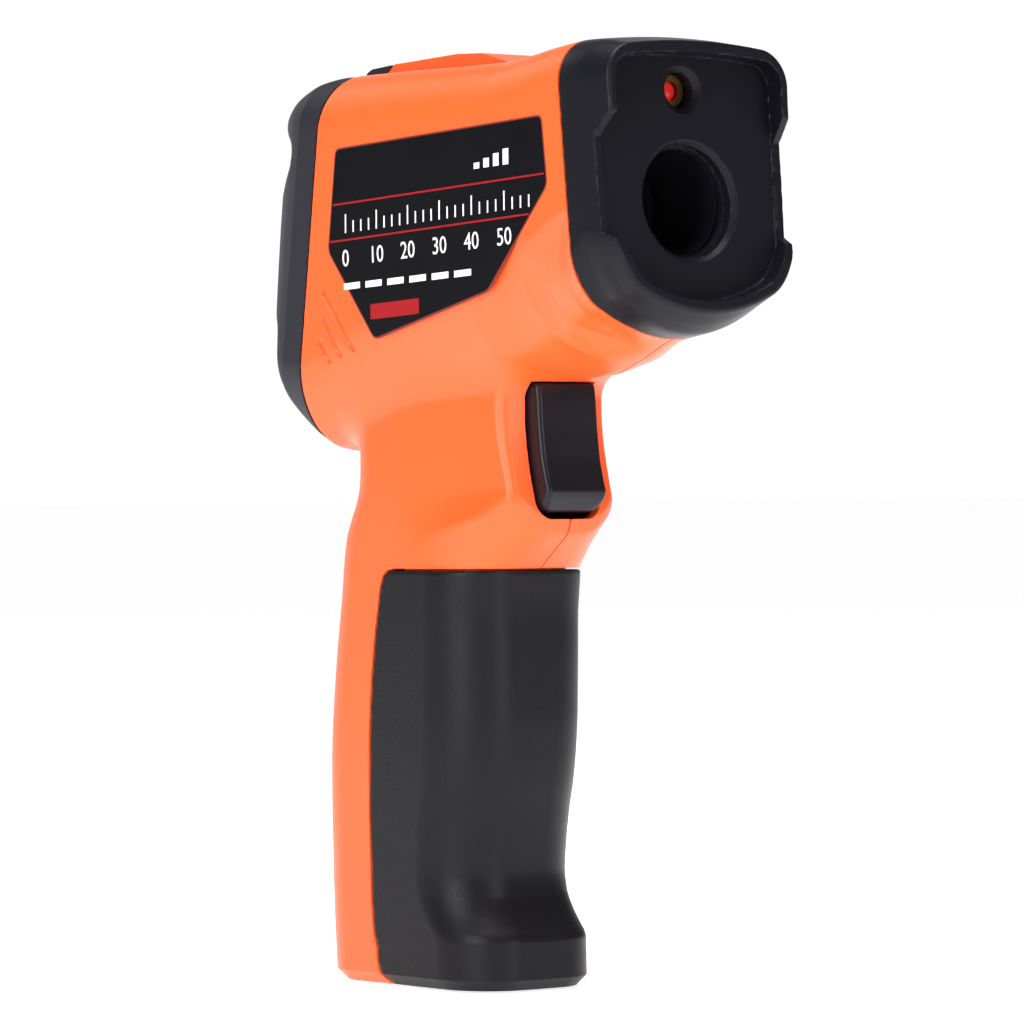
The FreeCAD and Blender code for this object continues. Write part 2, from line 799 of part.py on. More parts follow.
def trigger_pin():
    """Steel pin across the casing, in a post of each half."""
    half_length = 12.0
    pin = doc.addObject("Part::Cylinder", "trigger_pin")
    bind(pin, "Radius", size("trigger_pin_radius"))
    pin.Height = half_length * 2
    place = Vector(size("trigger_pin_x"), half_length, size("trigger_pin_z"))
    pin.Placement = Placement(place, Rotation(Vector(1, 0, 0), 90))
    keep("trigger_pin", pin)


def coil(start, direction, length, radius, wire, turns):
    """A coil spring with one closed coil end to end, made along a direction."""
    helix = Part.makeHelix(length / turns, length, radius)
    ring = Part.Wire([Part.Circle(Vector(radius, 0, 0), Vector(0, 1, 0), wire).toShape()])
    spring = Part.Wire(helix.Edges).makePipeShell([ring], True, True)
    turn = Rotation(Vector(0, 0, 1), Vector(*direction))
    return spring.transformed(Placement(Vector(*start), turn).toMatrix())


def trigger_spring():
    """Return spring between the switch board and the back of the trigger."""
    keep_shape("trigger_spring", coil((13.0, 0, 83.6), (1, 0, 0), 8.6, 2.2, 0.3, 5))


def switch_board():
    """Small board behind the trigger, carrying its switch."""
    body = new_body("switch_board")
    sketch = new_sketch(body, "YZ_Plane", 11.2)
    draw_rectangle(sketch, -9.0, 80.0, 9.0, 97.0)
    pad(body, sketch, 1.2)


def trigger_switch():
    """Square push switch with a bore for its plunger."""
    body = new_body("trigger_switch")
    outline = new_sketch(body, "YZ_Plane", 12.4)
    draw_rectangle(outline, -3.2, 87.8, 3.2, 94.2)
    pad(body, outline, 6.0)
    bore = new_sketch(body, "YZ_Plane", 18.4)
    draw_circle(bore, (0.0, 91.0), 1.55)
    pocket(body, bore, 5.0)


def switch_plunger():
    """Plunger that the trigger pushes back into the switch."""
    body = new_body("switch_plunger", Placement(Vector(0, 0, 91.0), Rotation()))
    revolve(body, [(15.6, 0.0), (15.6, 1.5), (21.3, 1.5), (21.8, 1.0), (21.8, 0.0)])


# ---------------------------------------------------------------- rear display


def bezel_outline(inset):
    """The rear surround from the side, in the rear seam's own frame, as (X, Z).

    A hood over the display, a waist under it, the bulge of the display, and a chin.
    """
    hood = [(-2.5, 21.8), (-6.0, 19.9), (-9.5, 16.6), (-11.2, 13.6), (-11.6, 11.4), (-10.5, 10.0)]
    waist = [(-8.9, 8.9), (-8.5, 7.6), (-8.8, 5.4)]
    bulge = [(-10.2, 2.7), (-11.3, 0.0), (-11.2, -6.0), (-10.7, -14.6), (-10.2, -21.0)]
    chin = [(-9.2, -23.0), (-8.6, -28.0), (-7.5, -31.4), (-5.5, -35.0), (-2.5, -38.8)]
    points = hood + waist + bulge + chin
    top, low = 22.1, -43.3
    if inset == 0.0:
        return [(0.0, low), (0.0, top)] + points
    inner = [(x + inset, z - inset if z > 15 else z + inset * 0.6 if z < -30 else z) for x, z in points]
    return [(1.0, low + inset), (1.0, top - inset)] + inner


def rear_bezel():
    """Dark rear surround: shell, display opening, key openings and its tongue on the rail."""
    def side_solid(inset):
        face = Part.Face(Part.makePolygon(
            [REAR.multVec(Vector(x, -30, z)) for x, z in bezel_outline(inset) + bezel_outline(inset)[:1]]))
        return face.extrude(Vector(0, 60, 0))

    outer = side_solid(0.0).common(loft([rear_outline(0.0, 0.0), rear_outline(1.2, -14.0)], True))
    inner = side_solid(wall).common(loft([rear_outline(wall, 2.0), rear_outline(wall + 1.2, -14.0)], True))
    shell = outer.cut(inner)
    top = size("rail_top")
    tongue_side = size("rail_half_width") - 0.2
    outline = [
        (-17.3, 153.0), (-14.8, 157.9), (-13.6, top), (-8.0, top),
        (-8.5, 156.75), (-12.6, 156.75), (-13.0, 152.5),
    ]
    tongue = prism(outline, -tongue_side, tongue_side)
    posts = []
    for y, z in BOARD_SCREWS:
        start = REAR.multVec(Vector(size("board_back"), y, z))
        finish = REAR.multVec(Vector(-12, y, z))
        posts.append(outer.common(rod(tuple(start), tuple(finish), 2.0)))
    shell = shell.fuse([tongue] + posts)
    play = 0.15
    window = size("window_half_width") + play
    tools = [rear_block((-20, -window, size("window_low") - play), (-4, window, size("window_high") + play))]
    gap = size("key_play")
    for place in key_places():
        half_y = size("key_width") / 2 + gap
        half_z = size("key_height") / 2 + gap
        tools.append(rear_block((-20, place - half_y, size("key_row") - half_z),
                                (-4.0, place + half_y, size("key_row") + half_z)))
    for y, z in BOARD_SCREWS:
        start = REAR.multVec(Vector(1, y, z))
        finish = REAR.multVec(Vector(-4.5, y, z))
        tools.append(rod(tuple(start), tuple(finish), 0.8))
    keep_shape("rear_bezel", solid_of(shell.cut(tools)))


BOARD_SCREWS = [(-13.5, 13.0), (13.5, 13.0), (-12.5, -34.3), (12.5, -34.3)]


def rear_block(low, high):
    """A box in the rear seam's frame."""
    box = block(tuple(float(v) for v in low), tuple(float(v) for v in high))
    box.Placement = REAR
    return box


def key_places():
    pitch = size("key_pitch")
    return [pitch * step for step in (-1, 0, 1)]


def rear_plate(name, near_x, depth, low_z, high_z, half_y, corner):
    """A flat rectangular piece in the rear seam's frame."""
    body = new_body(name, REAR)
    sketch = new_sketch(body, "YZ_Plane", near_x)
    draw_rectangle(sketch, -half_y, low_z, half_y, high_z)
    pad(body, sketch, depth)
    dress(body, "Fillet", corner, lambda edge: along(edge, Vector(1, 0, 0)))
    return body


def display_stack():
    """Window, liquid crystal panel, backlight and the rubber strip that feeds the panel."""
    low, high = size("window_low"), size("window_high")
    side = size("window_half_width")
    rear_plate("display_window", -10.0, 1.5, low, high, side, 1.5)
    rear_plate("lcd_panel", -7.0, 2.2, low - 2.4, high - 0.4, side - 1, 0.4)
    rear_plate("backlight", -4.7, 3.0, low, high - 0.4, side - 1, 0.8)
    rear_plate("contact_strip", -4.8, 3.8, low - 2.3, low - 0.5, side - 2, 0.3)


def main_board():
    """Main circuit board, screwed to the posts of the rear surround."""
    body = rear_plate("main_board", size("board_back"), size("board_thick"), -37.0, 16.0, 16.0, 2.0)
    holes = new_sketch(body, "YZ_Plane", size("board_back"))
    for place in BOARD_SCREWS:
        draw_circle(holes, place, 0.9)
    pocket(body, holes, size("board_thick"), reverse=True)


def board_chips():
    """Controller, memory, regulator and a connector on the front of the main board."""
    front = size("board_back") + size("board_thick")
    lots = [(-4.5, -6.0, 9.0, 9.0, 1.2), (6.5, 2.0, 4.0, 5.0, 1.4), (6.0, -14.0, 6.0, 4.0, 1.6),
            (-12.0, 4.0, 5.0, 3.0, 3.5), (-3.0, -22.0, 3.0, 2.0, 1.0), (-9.0, 8.0, 2.0, 1.2, 0.8)]
    chips = [
        rear_block((front, y, z), (front + thick, y + wide, z + tall)) for y, z, wide, tall, thick in lots
    ]
    keep_shape("board_chips", Part.makeCompound(chips))


def buzzer():
    """Round sounder on the front of the main board."""
    body = new_body("buzzer", Placement(REAR.multVec(Vector(0, 8.5, -24)), REAR.Rotation))
    front = size("board_back") + size("board_thick")
    radius = 5.5
    revolve(body, [
        (front, 0.0), (front, radius), (front + 4, radius), (front + 4, 1.0), (front + 3, 1.0), (front + 3, 0.0),
    ])


def key_domes():
    """One low snap dome on the board behind each key."""
    domes = []
    for place in key_places():
        centre = REAR.multVec(Vector(size("board_back"), place, size("key_row")))
        back = REAR.Rotation.multVec(Vector(-1, 0, 0))
        domes.append(Part.makeCone(2.6, 1.6, 0.5, centre, back))
    keep_shape("key_domes", Part.makeCompound(domes))


def key(name, place):
    """A key cap with a flange inside the surround and a stem down to its dome."""
    half_y = size("key_width") / 2
    half_z = size("key_height") / 2
    row = size("key_row")
    body = new_body(name, REAR)
    cap = new_sketch(body, "YZ_Plane", -9.7)
    draw_rectangle(cap, place - half_y, row - half_z, place + half_y, row + half_z)
    pad(body, cap, 5.1)
    dress(body, "Fillet", 1.2, lambda edge: along(edge, Vector(1, 0, 0)))
    dress(body, "Fillet", 0.4, lambda edge: max(v.X for v in edge.Vertexes) < -9.6)
    flange = new_sketch(body, "YZ_Plane", -4.6)
    reach = half_y + 0.7
    draw_rectangle(flange, place - reach, row - half_z - 0.5, place + reach, row + half_z + 0.8)
    pad(body, flange, 0.8)
    stem = new_sketch(body, "YZ_Plane", -3.8)
    draw_circle(stem, (place, row), 1.5)
    pad(body, stem, 1.4)


# ---------------------------------------------------------------- batteries


def cell(name, side):
    """One AAA cell: can, insulating step and button contact."""
    place = Vector(size("cell_x"), side * size("cell_spacing") / 2, size("cell_bottom"))
    turn = Rotation(Vector(0, 1, 0), -90)
    flip = 0 if side < 0 else size("cell_length")
    body = new_body(name, Placement(place, turn))
    length = size("cell_length")
    radius = cell_radius
    if flip:
        revolve(body, [(0.0, 0.0), (0.0, 1.9), (0.8, 1.9), (0.8, radius), (length, radius), (length, 0.0)])
    else:
        rim = length - 0.8
        revolve(body, [(0.0, 0.0), (0.0, radius), (rim, radius), (rim, 1.9), (length, 1.9), (length, 0.0)])


def battery_frame():
    """Tray for the two cells, with lugs at its foot that the grip door turns on."""
    low, high = 9.5, 62.0
    outer_y, inner_y = 12.0, 10.9
    body = new_body("battery_frame")
    outline = new_sketch(body, "XZ_Plane")
    draw_outline(outline, [
        (-4.2, low), (-2.3, low - 0.6), (-2.3, 3.6), (-1.2, 2.5), (1.2, 2.5), (2.3, 3.6), (2.3, low),
        (9.0, low), (9.0, high), (-4.2, high),
    ])
    pad(body, outline, outer_y * 2, midplane=True)
    tray = new_sketch(body, "XZ_Plane")
    draw_rectangle(tray, -1.0, low + 1.6, 20.0, high - 1.6)
    pocket(body, tray, inner_y * 2, midplane=True)
    between = new_sketch(body, "XZ_Plane")
    draw_rectangle(between, -10.0, -1.0, 20.0, low)
    pocket(body, between, 10.5 * 2, midplane=True)
    pivot = new_sketch(body, "XZ_Plane")
    draw_circle(pivot, (size("hinge_x"), size("hinge_z")), size("hinge_pin_radius") + size("hinge_play"))
    pocket(body, pivot, 30.0, midplane=True)


def contact_leaf(x, place, start, rise):
    """Bent strip that springs between a plate and the end of a cell."""
    thick = 0.3
    foot, bend, crown = 3.4, 2.3, 0.8
    strip = [
        (x - foot, start), (x - foot, start + thick), (x - bend, start + thick), (x - crown, start + rise),
        (x + crown, start + rise), (x + bend, start + thick), (x + foot, start + thick), (x + foot, start),
        (x + bend, start), (x + crown, start + rise - thick), (x - crown, start + rise - thick), (x - bend, start),
    ]
    return prism(strip, place - 2, place + 2)


def cell_contacts():
    """Contact leaves, end plates and the plate that bridges the two cells."""
    x = size("cell_x")
    half = size("cell_spacing") / 2
    low = size("cell_bottom")
    high = low + size("cell_length")
    free = 2.0
    springs = [contact_leaf(x, place, start, free) for place, start in ((-half, low - free), (half, high))]
    keep_shape("cell_springs", Part.makeCompound(springs))
    plates = [block((x - 4, place - 4, start), (x + 4, place + 4, start + 0.4))
              for place, start in ((-half, high), (half, high + free))]
    keep_shape("contact_plates", Part.makeCompound(plates))
    bridge = doc.addObject("Part::Box", "bridge_strip")
    bridge.Length = 8.0
    bind(bridge, "Width", size("cell_spacing") + 8.0)
    bridge.Height = 0.4
    bridge.Placement = Placement(Vector(x - 4, -half - 4, low - free - 0.4), Rotation())
    tongue = doc.addObject("Part::Cylinder", "bridge_tongue")
    tongue.Radius = 2.0
    tongue.Height = free
    tongue.Placement = Placement(Vector(x, half, low - free), Rotation())
    joined = doc.addObject("Part::Fuse", "bridge_plate")
    joined.Base = bridge
    joined.Tool = tongue
    keep("bridge_plate", joined)


# ---------------------------------------------------------------- labels, screws, leads


def label(name, side):
    """Thin printed label in its recess."""
    thick = size("label_thick")
    outer = side * (half_width - 0.1)
    inner = side * (half_width - 0.1 - thick)
    keep_shape(name, prism(label_outline(), min(outer, inner), max(outer, inner)))


def screw(place, direction, seat_radius, head, shank, length):
    """A pan head and its shank, running along a direction from its seat."""
    seat = Vector(*place)
    along_axis = Vector(*direction)
    top = Part.makeCylinder(seat_radius, head, seat, along_axis * -1)
    body = Part.makeCylinder(shank, length, seat, along_axis)
    slot = Part.makeCylinder(seat_radius * 0.35, head * 0.6, seat - along_axis * head, along_axis)
    return top.fuse(body).cut(slot)


def screws():
    casing_screws = [screw((x, SCREW_SEAT, z), (0, -1, 0), 2.4, 1.7, 1.0, 16.0) for x, z in SCREW_PLACES]
    keep_shape("housing_screws", Part.makeCompound(casing_screws))
    front = size("board_back") + size("board_thick")
    inward = tuple(REAR.Rotation.multVec(Vector(-1, 0, 0)))
    small = [
        screw(tuple(REAR.multVec(Vector(front, y, z))), inward, 1.7, 1.2, 0.7, 4.5) for y, z in BOARD_SCREWS
    ]
    keep_shape("board_screws", Part.makeCompound(small))


def lead(points, radius):
    """A thin insulated wire along straight runs with rounded joints."""
    runs = [rod(points[i], points[i + 1], radius) for i in range(len(points) - 1)]
    joints = [Part.makeSphere(radius, Vector(*point)) for point in points[1:-1]]
    return runs[0].fuse(runs[1:] + joints)


def leads():
    battery = [
        lead([(-12.2, y, 63.5), (-13.0, y, 78.0), (-4.0, y, 91.0), (-6.0, y, 108.0), (-12.6, y, 114.0)], 0.55)
        for y in (-1.4, 1.4)
    ]
    keep_shape("battery_leads", Part.makeCompound(battery))
    laser = [lead([(42.6, y, 149.7), (36.0, y, 150.0), (4.0, y, 147.5), (-6.5, y * 4, 140.0)], 0.45)
             for y in (-0.8, 0.8)]
    keep_shape("laser_leads", Part.makeCompound(laser))
    switch = [lead([(11.0, y, 95.0), (4.0, y, 97.0), (-8.0, y, 104.0), (-14.6, y, 112.0)], 0.45)
              for y in (-4.0, -5.4)]
    keep_shape("switch_leads", Part.makeCompound(switch))


# ---------------------------------------------------------------- build and write


def build():
    casing()
    battery_door()
    nose_cap()
    lens_tube()
    infrared_lens()
    lens_ring()
    field_stop()
    detector()
    sensor_board()
    laser_module()
    laser_lens()
    optics_carrier()
    trigger()
    trigger_pin()
    trigger_spring()
    switch_board()
    trigger_switch()
    switch_plunger()
    rear_bezel()
    display_stack()
    main_board()
    board_chips()
    buzzer()
    key_domes()
    for name, place in zip(("key_right", "key_middle", "key_left"), key_places()):
        key(name, place)
    cell("right_cell", -1)
    cell("left_cell", 1)
    battery_frame()
    cell_contacts()
    label("right_label", -1)
    label("left_label", 1)
    screws()
    leads()
    doc.recompute()


def check_and_write():
    for thing in doc.Objects:
        if {"Invalid", "Error"} & set(thing.State):
            raise RuntimeError(f"{thing.Label} did not compute: {thing.State}")
    for name, thing in nodes.items():
        if thing.Shape.isNull() or not thing.Shape.isValid():
            raise RuntimeError(f"{name} has no valid shape")
    os.makedirs("parts", exist_ok=True)
    for name, thing in nodes.items():
        thing.Shape.exportStep(f"parts/{name}.step")
    print(f"{len(nodes)} sub-parts written")


build()
check_and_write()
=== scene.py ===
import json
import math

import bpy
import numpy as np
from mathutils import Matrix, Vector


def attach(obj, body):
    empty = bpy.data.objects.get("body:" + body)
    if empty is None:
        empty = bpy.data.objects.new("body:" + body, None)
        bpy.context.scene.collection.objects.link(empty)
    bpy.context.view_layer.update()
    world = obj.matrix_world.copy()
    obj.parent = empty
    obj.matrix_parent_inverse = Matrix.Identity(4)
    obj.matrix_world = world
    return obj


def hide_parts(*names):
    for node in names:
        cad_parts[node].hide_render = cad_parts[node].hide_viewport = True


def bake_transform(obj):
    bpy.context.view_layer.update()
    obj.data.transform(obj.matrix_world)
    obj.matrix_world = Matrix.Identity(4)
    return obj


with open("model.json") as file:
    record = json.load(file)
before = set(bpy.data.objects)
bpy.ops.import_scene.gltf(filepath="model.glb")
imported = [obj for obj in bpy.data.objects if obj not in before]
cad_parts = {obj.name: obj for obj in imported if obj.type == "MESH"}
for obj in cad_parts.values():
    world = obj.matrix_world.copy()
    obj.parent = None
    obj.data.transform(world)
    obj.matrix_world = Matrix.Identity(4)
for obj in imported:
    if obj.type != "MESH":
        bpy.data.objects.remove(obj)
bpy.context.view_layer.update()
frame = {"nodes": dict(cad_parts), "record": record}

# Pistol-type infrared thermometer.  The frame gives every piece its place.  The moulded
# outer parts are described here as distance fields in millimetres (negative inside) and
# turned into meshes; fields keep the mouldings smooth where surfaces run into each other.
# +X is the aim, +Y the left side, +Z up; "side" is the distance from the middle plane.

MM = 0.001

REAR_TILT = math.radians(7.57)
REAR_ORIGIN = (-15.2, 134.5)
FRONT_TILT = math.radians(5.94)
FRONT_ORIGIN = (54.5, 135.0)
RIM_TILT = math.radians(4.3)
RIM_ORIGIN = (64.9, 141.6)
FACE_TILT = math.radians(5.7)
FACE_ORIGIN = (60.6, 141.6)
HALF_WIDTH = 20.5
WALL = 2.0
SEAM = 0.12
LENS_Z = 131.4
LENS_BORE = 9.3
LENS_SEAT = 8.9
LASER_Z = 149.7
LASER_BORE = 3.0
DOOR_TOP = 71.0
DOOR_PLAY = 0.18
FLOOR_Z = 72.2
FLOOR_HALF = 0.8
RIB_HEIGHTS = (31.7, 53.7)
RIB_HALF = 0.7
RIB_FRONT = -4.3
HINGE_Z = 5.0
PIN_RADIUS = 1.5
PIN_START = 10.6
COLLAR_RADIUS = 2.6
COLLAR_START = 12.4
COLLAR_END = 13.5
SLOT_HALF_WIDTH = 6.85
SLOT_HALF_HEIGHT = 20.5
SLOT_CORNER = 3.2
TRIGGER_HALF_WIDTH = 6.4
TRIGGER_HALF_HEIGHT = 19.7
TRIGGER_CORNER = 2.8
TRIGGER_MIDDLE_Z = 100.0
TRIGGER_PIVOT = (22.0, 106.5)

# ------------------------------------------------------------------ curves and outlines


def smooth_line(knots, samples=1500):
    """A smooth curve through (place, value) knots, level beyond the first and the last."""
    places = np.array([k[0] for k in knots], dtype=float)
    values = np.array([k[1] for k in knots], dtype=float)
    gaps = np.diff(places)
    slopes = np.diff(values) / gaps
    tangents = np.zeros_like(values)
    tangents[0], tangents[-1] = slopes[0], slopes[-1]
    for i in range(1, len(knots) - 1):
        if slopes[i - 1] * slopes[i] > 0:
            near, far = 2 * gaps[i] + gaps[i - 1], gaps[i] + 2 * gaps[i - 1]
            tangents[i] = (near + far) / (near / slopes[i - 1] + far / slopes[i])
    t = np.linspace(places[0], places[-1], samples)
    i = np.clip(np.searchsorted(places, t, side="right") - 1, 0, len(gaps) - 1)
    u = (t - places[i]) / gaps[i]
    table = (values[i] * (1 + 2 * u) * (1 - u) ** 2 + tangents[i] * gaps[i] * u * (1 - u) ** 2
             + values[i + 1] * u * u * (3 - 2 * u) + tangents[i + 1] * gaps[i] * u * u * (u - 1))
    scale = (samples - 1) / (places[-1] - places[0])

    def value(t):
        spot = np.clip((t - places[0]) * scale, 0, samples - 1.001)
        low = spot.astype(np.int64)
        share = spot - low
        return table[low] * (1 - share) + table[low + 1] * share

    return value


def step_between(t, low, high):
    """0 below low, 1 above high, smooth in between."""
    u = np.clip((t - low) / (high - low), 0.0, 1.0)
    return u * u * (3 - 2 * u)


def both(a, b, radius=0.0):
    """Where both fields are inside, with their common edge rounded."""
    if np.isscalar(radius) and radius == 0.0:
        return np.maximum(a, b)
    outer = np.hypot(np.maximum(a + radius, 0), np.maximum(b + radius, 0))
    return np.minimum(-radius, np.maximum(a, b)) + outer


def either(a, b, radius=0.0):
    """Where one of the fields is inside, with the corner between them filled."""
    return -both(-a, -b, radius)


def without(a, b, radius=0.0):
    """The first field less the second, with the cut's edge rounded."""
    return both(a, -b, radius)


def outline_distance(u, v, corners):
    """Signed distance to a closed outline of straight lines, negative inside."""
    best = np.full(u.shape, 1e9)
    inside = np.zeros(u.shape, dtype=bool)
    for (u0, v0), (u1, v1) in zip(corners, corners[1:] + corners[:1]):
        du, dv = u1 - u0, v1 - v0
        along = np.clip(((u - u0) * du + (v - v0) * dv) / (du * du + dv * dv), 0, 1)
        best = np.minimum(best, np.hypot(u - u0 - along * du, v - v0 - along * dv))
        crosses = (v0 > v) != (v1 > v)
        inside ^= crosses & (u < u0 + (v - v0) * du / (dv if dv != 0 else 1e-9))
    return np.where(inside, -best, best)


def drawn(corners, soften=0.0, step=0.2, margin=14.0):
    """The field of a closed outline; soften rounds all its corners by about that much."""
    us = np.array([c[0] for c in corners])
    vs = np.array([c[1] for c in corners])
    u_axis = np.arange(us.min() - margin, us.max() + margin, step)
    v_axis = np.arange(vs.min() - margin, vs.max() + margin, step)
    grid_u, grid_v = np.meshgrid(u_axis, v_axis, indexing="ij")
    table = outline_distance(grid_u.ravel(), grid_v.ravel(), list(corners)).reshape(grid_u.shape)
    if soften > 0:
        reach = int(math.ceil(2.5 * soften / step))
        bell = np.exp(-0.5 * (np.arange(-reach, reach + 1) * step / soften) ** 2)
        bell /= bell.sum()
        for axis in range(2):
            padded = np.pad(table, [(reach, reach) if i == axis else (0, 0) for i in range(2)], mode="edge")
            parts = [weight * np.take(padded, np.arange(table.shape[axis]) + k, axis=axis)
                     for k, weight in enumerate(bell)]
            table = sum(parts)

    def value(u, v):
        a = np.clip((u - u_axis[0]) / step, 0, len(u_axis) - 1.001)
        b = np.clip((v - v_axis[0]) / step, 0, len(v_axis) - 1.001)
        i, j = a.astype(np.int64), b.astype(np.int64)
        p, q = a - i, b - j
        low = table[i, j] * (1 - q) + table[i, j + 1] * q
        high = table[i + 1, j] * (1 - q) + table[i + 1, j + 1] * q
        return low * (1 - p) + high * p

    return value


def box_distance(u, v, half_u, half_v, radius=0.0):
    """Signed distance to a rectangle about the origin with rounded corners."""
    du = np.abs(u) - half_u + radius
    dv = np.abs(v) - half_v + radius
    return np.hypot(np.maximum(du, 0), np.maximum(dv, 0)) + np.minimum(np.maximum(du, dv), 0) - radius


def rear_local(x, z):
    """(depth behind the rear seam, height along the display) of a point."""
    dx, dz = x - REAR_ORIGIN[0], z - REAR_ORIGIN[1]
    c, s = math.cos(REAR_TILT), math.sin(REAR_TILT)
    return -(dx * c - dz * s), dx * s + dz * c


def ahead_of(x, z, origin, tilt):
    """Distance in front of a plane that leans back by tilt."""
    return (x - origin[0]) * math.cos(tilt) + (z - origin[1]) * math.sin(tilt)


# ------------------------------------------------------------------ field to mesh


def gradient(field, points, reach=0.02):
    """Unit direction in which the field grows."""
    columns = []
    for axis in range(3):
        shift = np.zeros(3)
        shift[axis] = reach
        columns.append(field(*(points + shift).T) - field(*(points - shift).T))
    slope = np.stack(columns, axis=1)
    return slope / np.maximum(np.linalg.norm(slope, axis=1, keepdims=True), 1e-9)


def sample_near_surface(field, low, shape, step):
    """The field on a grid; far from the surface only its sign matters and it is coarse."""
    coarse = 4
    counts = [int(math.ceil((n + 1) / coarse)) + 1 for n in shape]
    axes = [low[i] + (np.arange(counts[i]) + 0.5) * step * coarse for i in range(3)]
    mesh = np.meshgrid(*axes, indexing="ij")
    rough = field(*(m.ravel() for m in mesh)).reshape(counts)
    near = np.abs(rough) < step * coarse * 1.5
    full, mask = rough, near
    for axis in range(3):
        full = np.repeat(full, coarse, axis)
        mask = np.repeat(mask, coarse, axis)
    full = full[: shape[0], : shape[1], : shape[2]].copy()
    index = np.argwhere(mask[: shape[0], : shape[1], : shape[2]])
    for start in range(0, len(index), 1_500_000):
        part = index[start:start + 1_500_000]
        full[part[:, 0], part[:, 1], part[:, 2]] = field(*(low + part * step).T)
    return full


def surface_net(field, low, high, step):
    """Vertices and quads of the field's surface, with corners kept crisp.

    Each cell that the surface passes holds one vertex, put where the tangent planes at
    the cell's crossings meet.
    """
    low = np.array(low, dtype=float)
    shape = tuple(int(math.ceil((high[i] - low[i]) / step)) + 1 for i in range(3))
    values = sample_near_surface(field, low, shape, step)
    inside = values < 0
    strides = np.array([shape[1] * shape[2], shape[2], 1])
    cells, points, faces = [], [], []
    for axis in range(3):
        first = [slice(None)] * 3
        second = [slice(None)] * 3
        first[axis], second[axis] = slice(0, -1), slice(1, None)
        spots = np.argwhere(inside[tuple(first)] != inside[tuple(second)])
        others = [(axis + 1) % 3, (axis + 2) % 3]
        keep = np.all(spots[:, others] > 0, axis=1)
        keep &= np.all(spots[:, others] < np.array(shape)[others] - 1, axis=1)
        spots = spots[keep]
        ends = spots.copy()
        ends[:, axis] += 1
        a = values[tuple(spots.T)]
        b = values[tuple(ends.T)]
        place = low + spots * step
        place[:, axis] += a / (a - b) * step
        around = []
        for p, q in ((-1, -1), (0, -1), (0, 0), (-1, 0)):
            cell = spots.copy()
            cell[:, others[0]] += p
            cell[:, others[1]] += q
            around.append(cell @ strides)
        around = np.stack(around, axis=1)
        flip = inside[tuple(spots.T)]
        around[~flip] = around[~flip][:, ::-1]
        cells.append(around.ravel())
        points.append(place)
        faces.append(around)
    crossing = np.concatenate(points)
    normal = gradient(field, crossing)
    normals = np.repeat(normal, 4, axis=0)
    places = np.repeat(crossing - normal * field(*crossing.T)[:, None] * 0.9, 4, axis=0)
    owners, slots = np.unique(np.concatenate(cells), return_inverse=True)
    count = np.bincount(slots)
    centre = np.stack([np.bincount(slots, places[:, i]) for i in range(3)], axis=1) / count[:, None]
    reach = np.einsum("ij,ij->i", normals, places - centre[slots])
    pull = np.stack([np.bincount(slots, normals[:, i] * reach) for i in range(3)], axis=1)
    spread = np.zeros((len(owners), 3, 3))
    for i in range(3):
        for j in range(i, 3):
            spread[:, i, j] = np.bincount(slots, normals[:, i] * normals[:, j])
            spread[:, j, i] = spread[:, i, j]
    spread += np.eye(3) * (0.06 * count)[:, None, None]
    move = np.linalg.solve(spread, pull[:, :, None])[:, :, 0]
    length = np.linalg.norm(move, axis=1, keepdims=True)
    move *= np.minimum(1.0, step / np.maximum(length, 1e-9))
    lookup = np.full(strides[0] * shape[0], -1, dtype=np.int64)
    lookup[owners] = np.arange(len(owners))
    return centre + move, lookup[np.concatenate(faces)]


def mesh_object(name, vertices, faces):
    """A Blender object from vertices in millimetres and faces of equal corner count."""
    corners = faces.shape[1]
    mesh = bpy.data.meshes.new(name)
    mesh.vertices.add(len(vertices))
    mesh.vertices.foreach_set("co", (np.asarray(vertices) * MM).astype(np.float32).ravel())
    mesh.loops.add(faces.size)
    mesh.loops.foreach_set("vertex_index", faces.astype(np.int32).ravel())
    mesh.polygons.add(len(faces))
    mesh.polygons.foreach_set("loop_start", np.arange(0, faces.size, corners, dtype=np.int32))
    mesh.update(calc_edges=True)
    mesh.validate()
    thing = bpy.data.objects.new(name, mesh)
    bpy.context.scene.collection.objects.link(thing)
    return thing


def smooth_shade(thing, angle=32.0):
    """Smooth shading that breaks at sharp edges."""
    mesh = thing.data
    mesh.polygons.foreach_set("use_smooth", np.ones(len(mesh.polygons), dtype=bool))
    mesh.set_sharp_from_angle(angle=math.radians(angle))


def moulded(name, field, low, high, step, body, nodes, material):
    """A moulded part from its field, standing for CAD nodes and riding on a body."""
    vertices, faces = surface_net(field, low, high, step)
    thing = mesh_object(name, vertices, faces)
    smooth_shade(thing)
    thing.data.materials.append(material)
    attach(thing, body)
    if nodes:
        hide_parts(*nodes)
    return thing


# ------------------------------------------------------------------ shape of the casing

# the barrel from the side, as (X, Z), and its half width
top_line = smooth_line([(-24, 156.3), (0, 156.3), (20, 156.1), (30, 156.1), (37, 156.8), (46, 158.0),
                        (54, 158.6), (57, 158.5), (64, 157.5), (70, 157.0)])
belly_line = smooth_line([(-25, 90.0), (-20.5, 91.0), (0, 96.2), (20, 101.2), (30, 102.8), (41, 103.4),
                          (48.5, 105.6), (57.2, 109.0), (61.5, 109.6), (64, 110.9), (67.0, 113.2),
                          (70, 115.5)])
width_line = smooth_line([(-30, 20.5), (54, 20.5), (57, 20.4), (62, 19.6), (66, 18.55), (70, 17.4)])
belly_corner = smooth_line([(-20, 10.5), (25, 10.0), (40, 8.5), (52, 5.6), (67, 4.6)])
top_corner = smooth_line([(-20, 9.4), (20, 8.8), (44, 7.5), (56, 6.4), (66, 4.8)])
belly_crown = smooth_line([(-21, 0.0095), (-5, 0.013), (20, 0.0165), (54, 0.0170), (60, 0.0250),
                           (63, 0.0240), (66.5, 0.0185)])
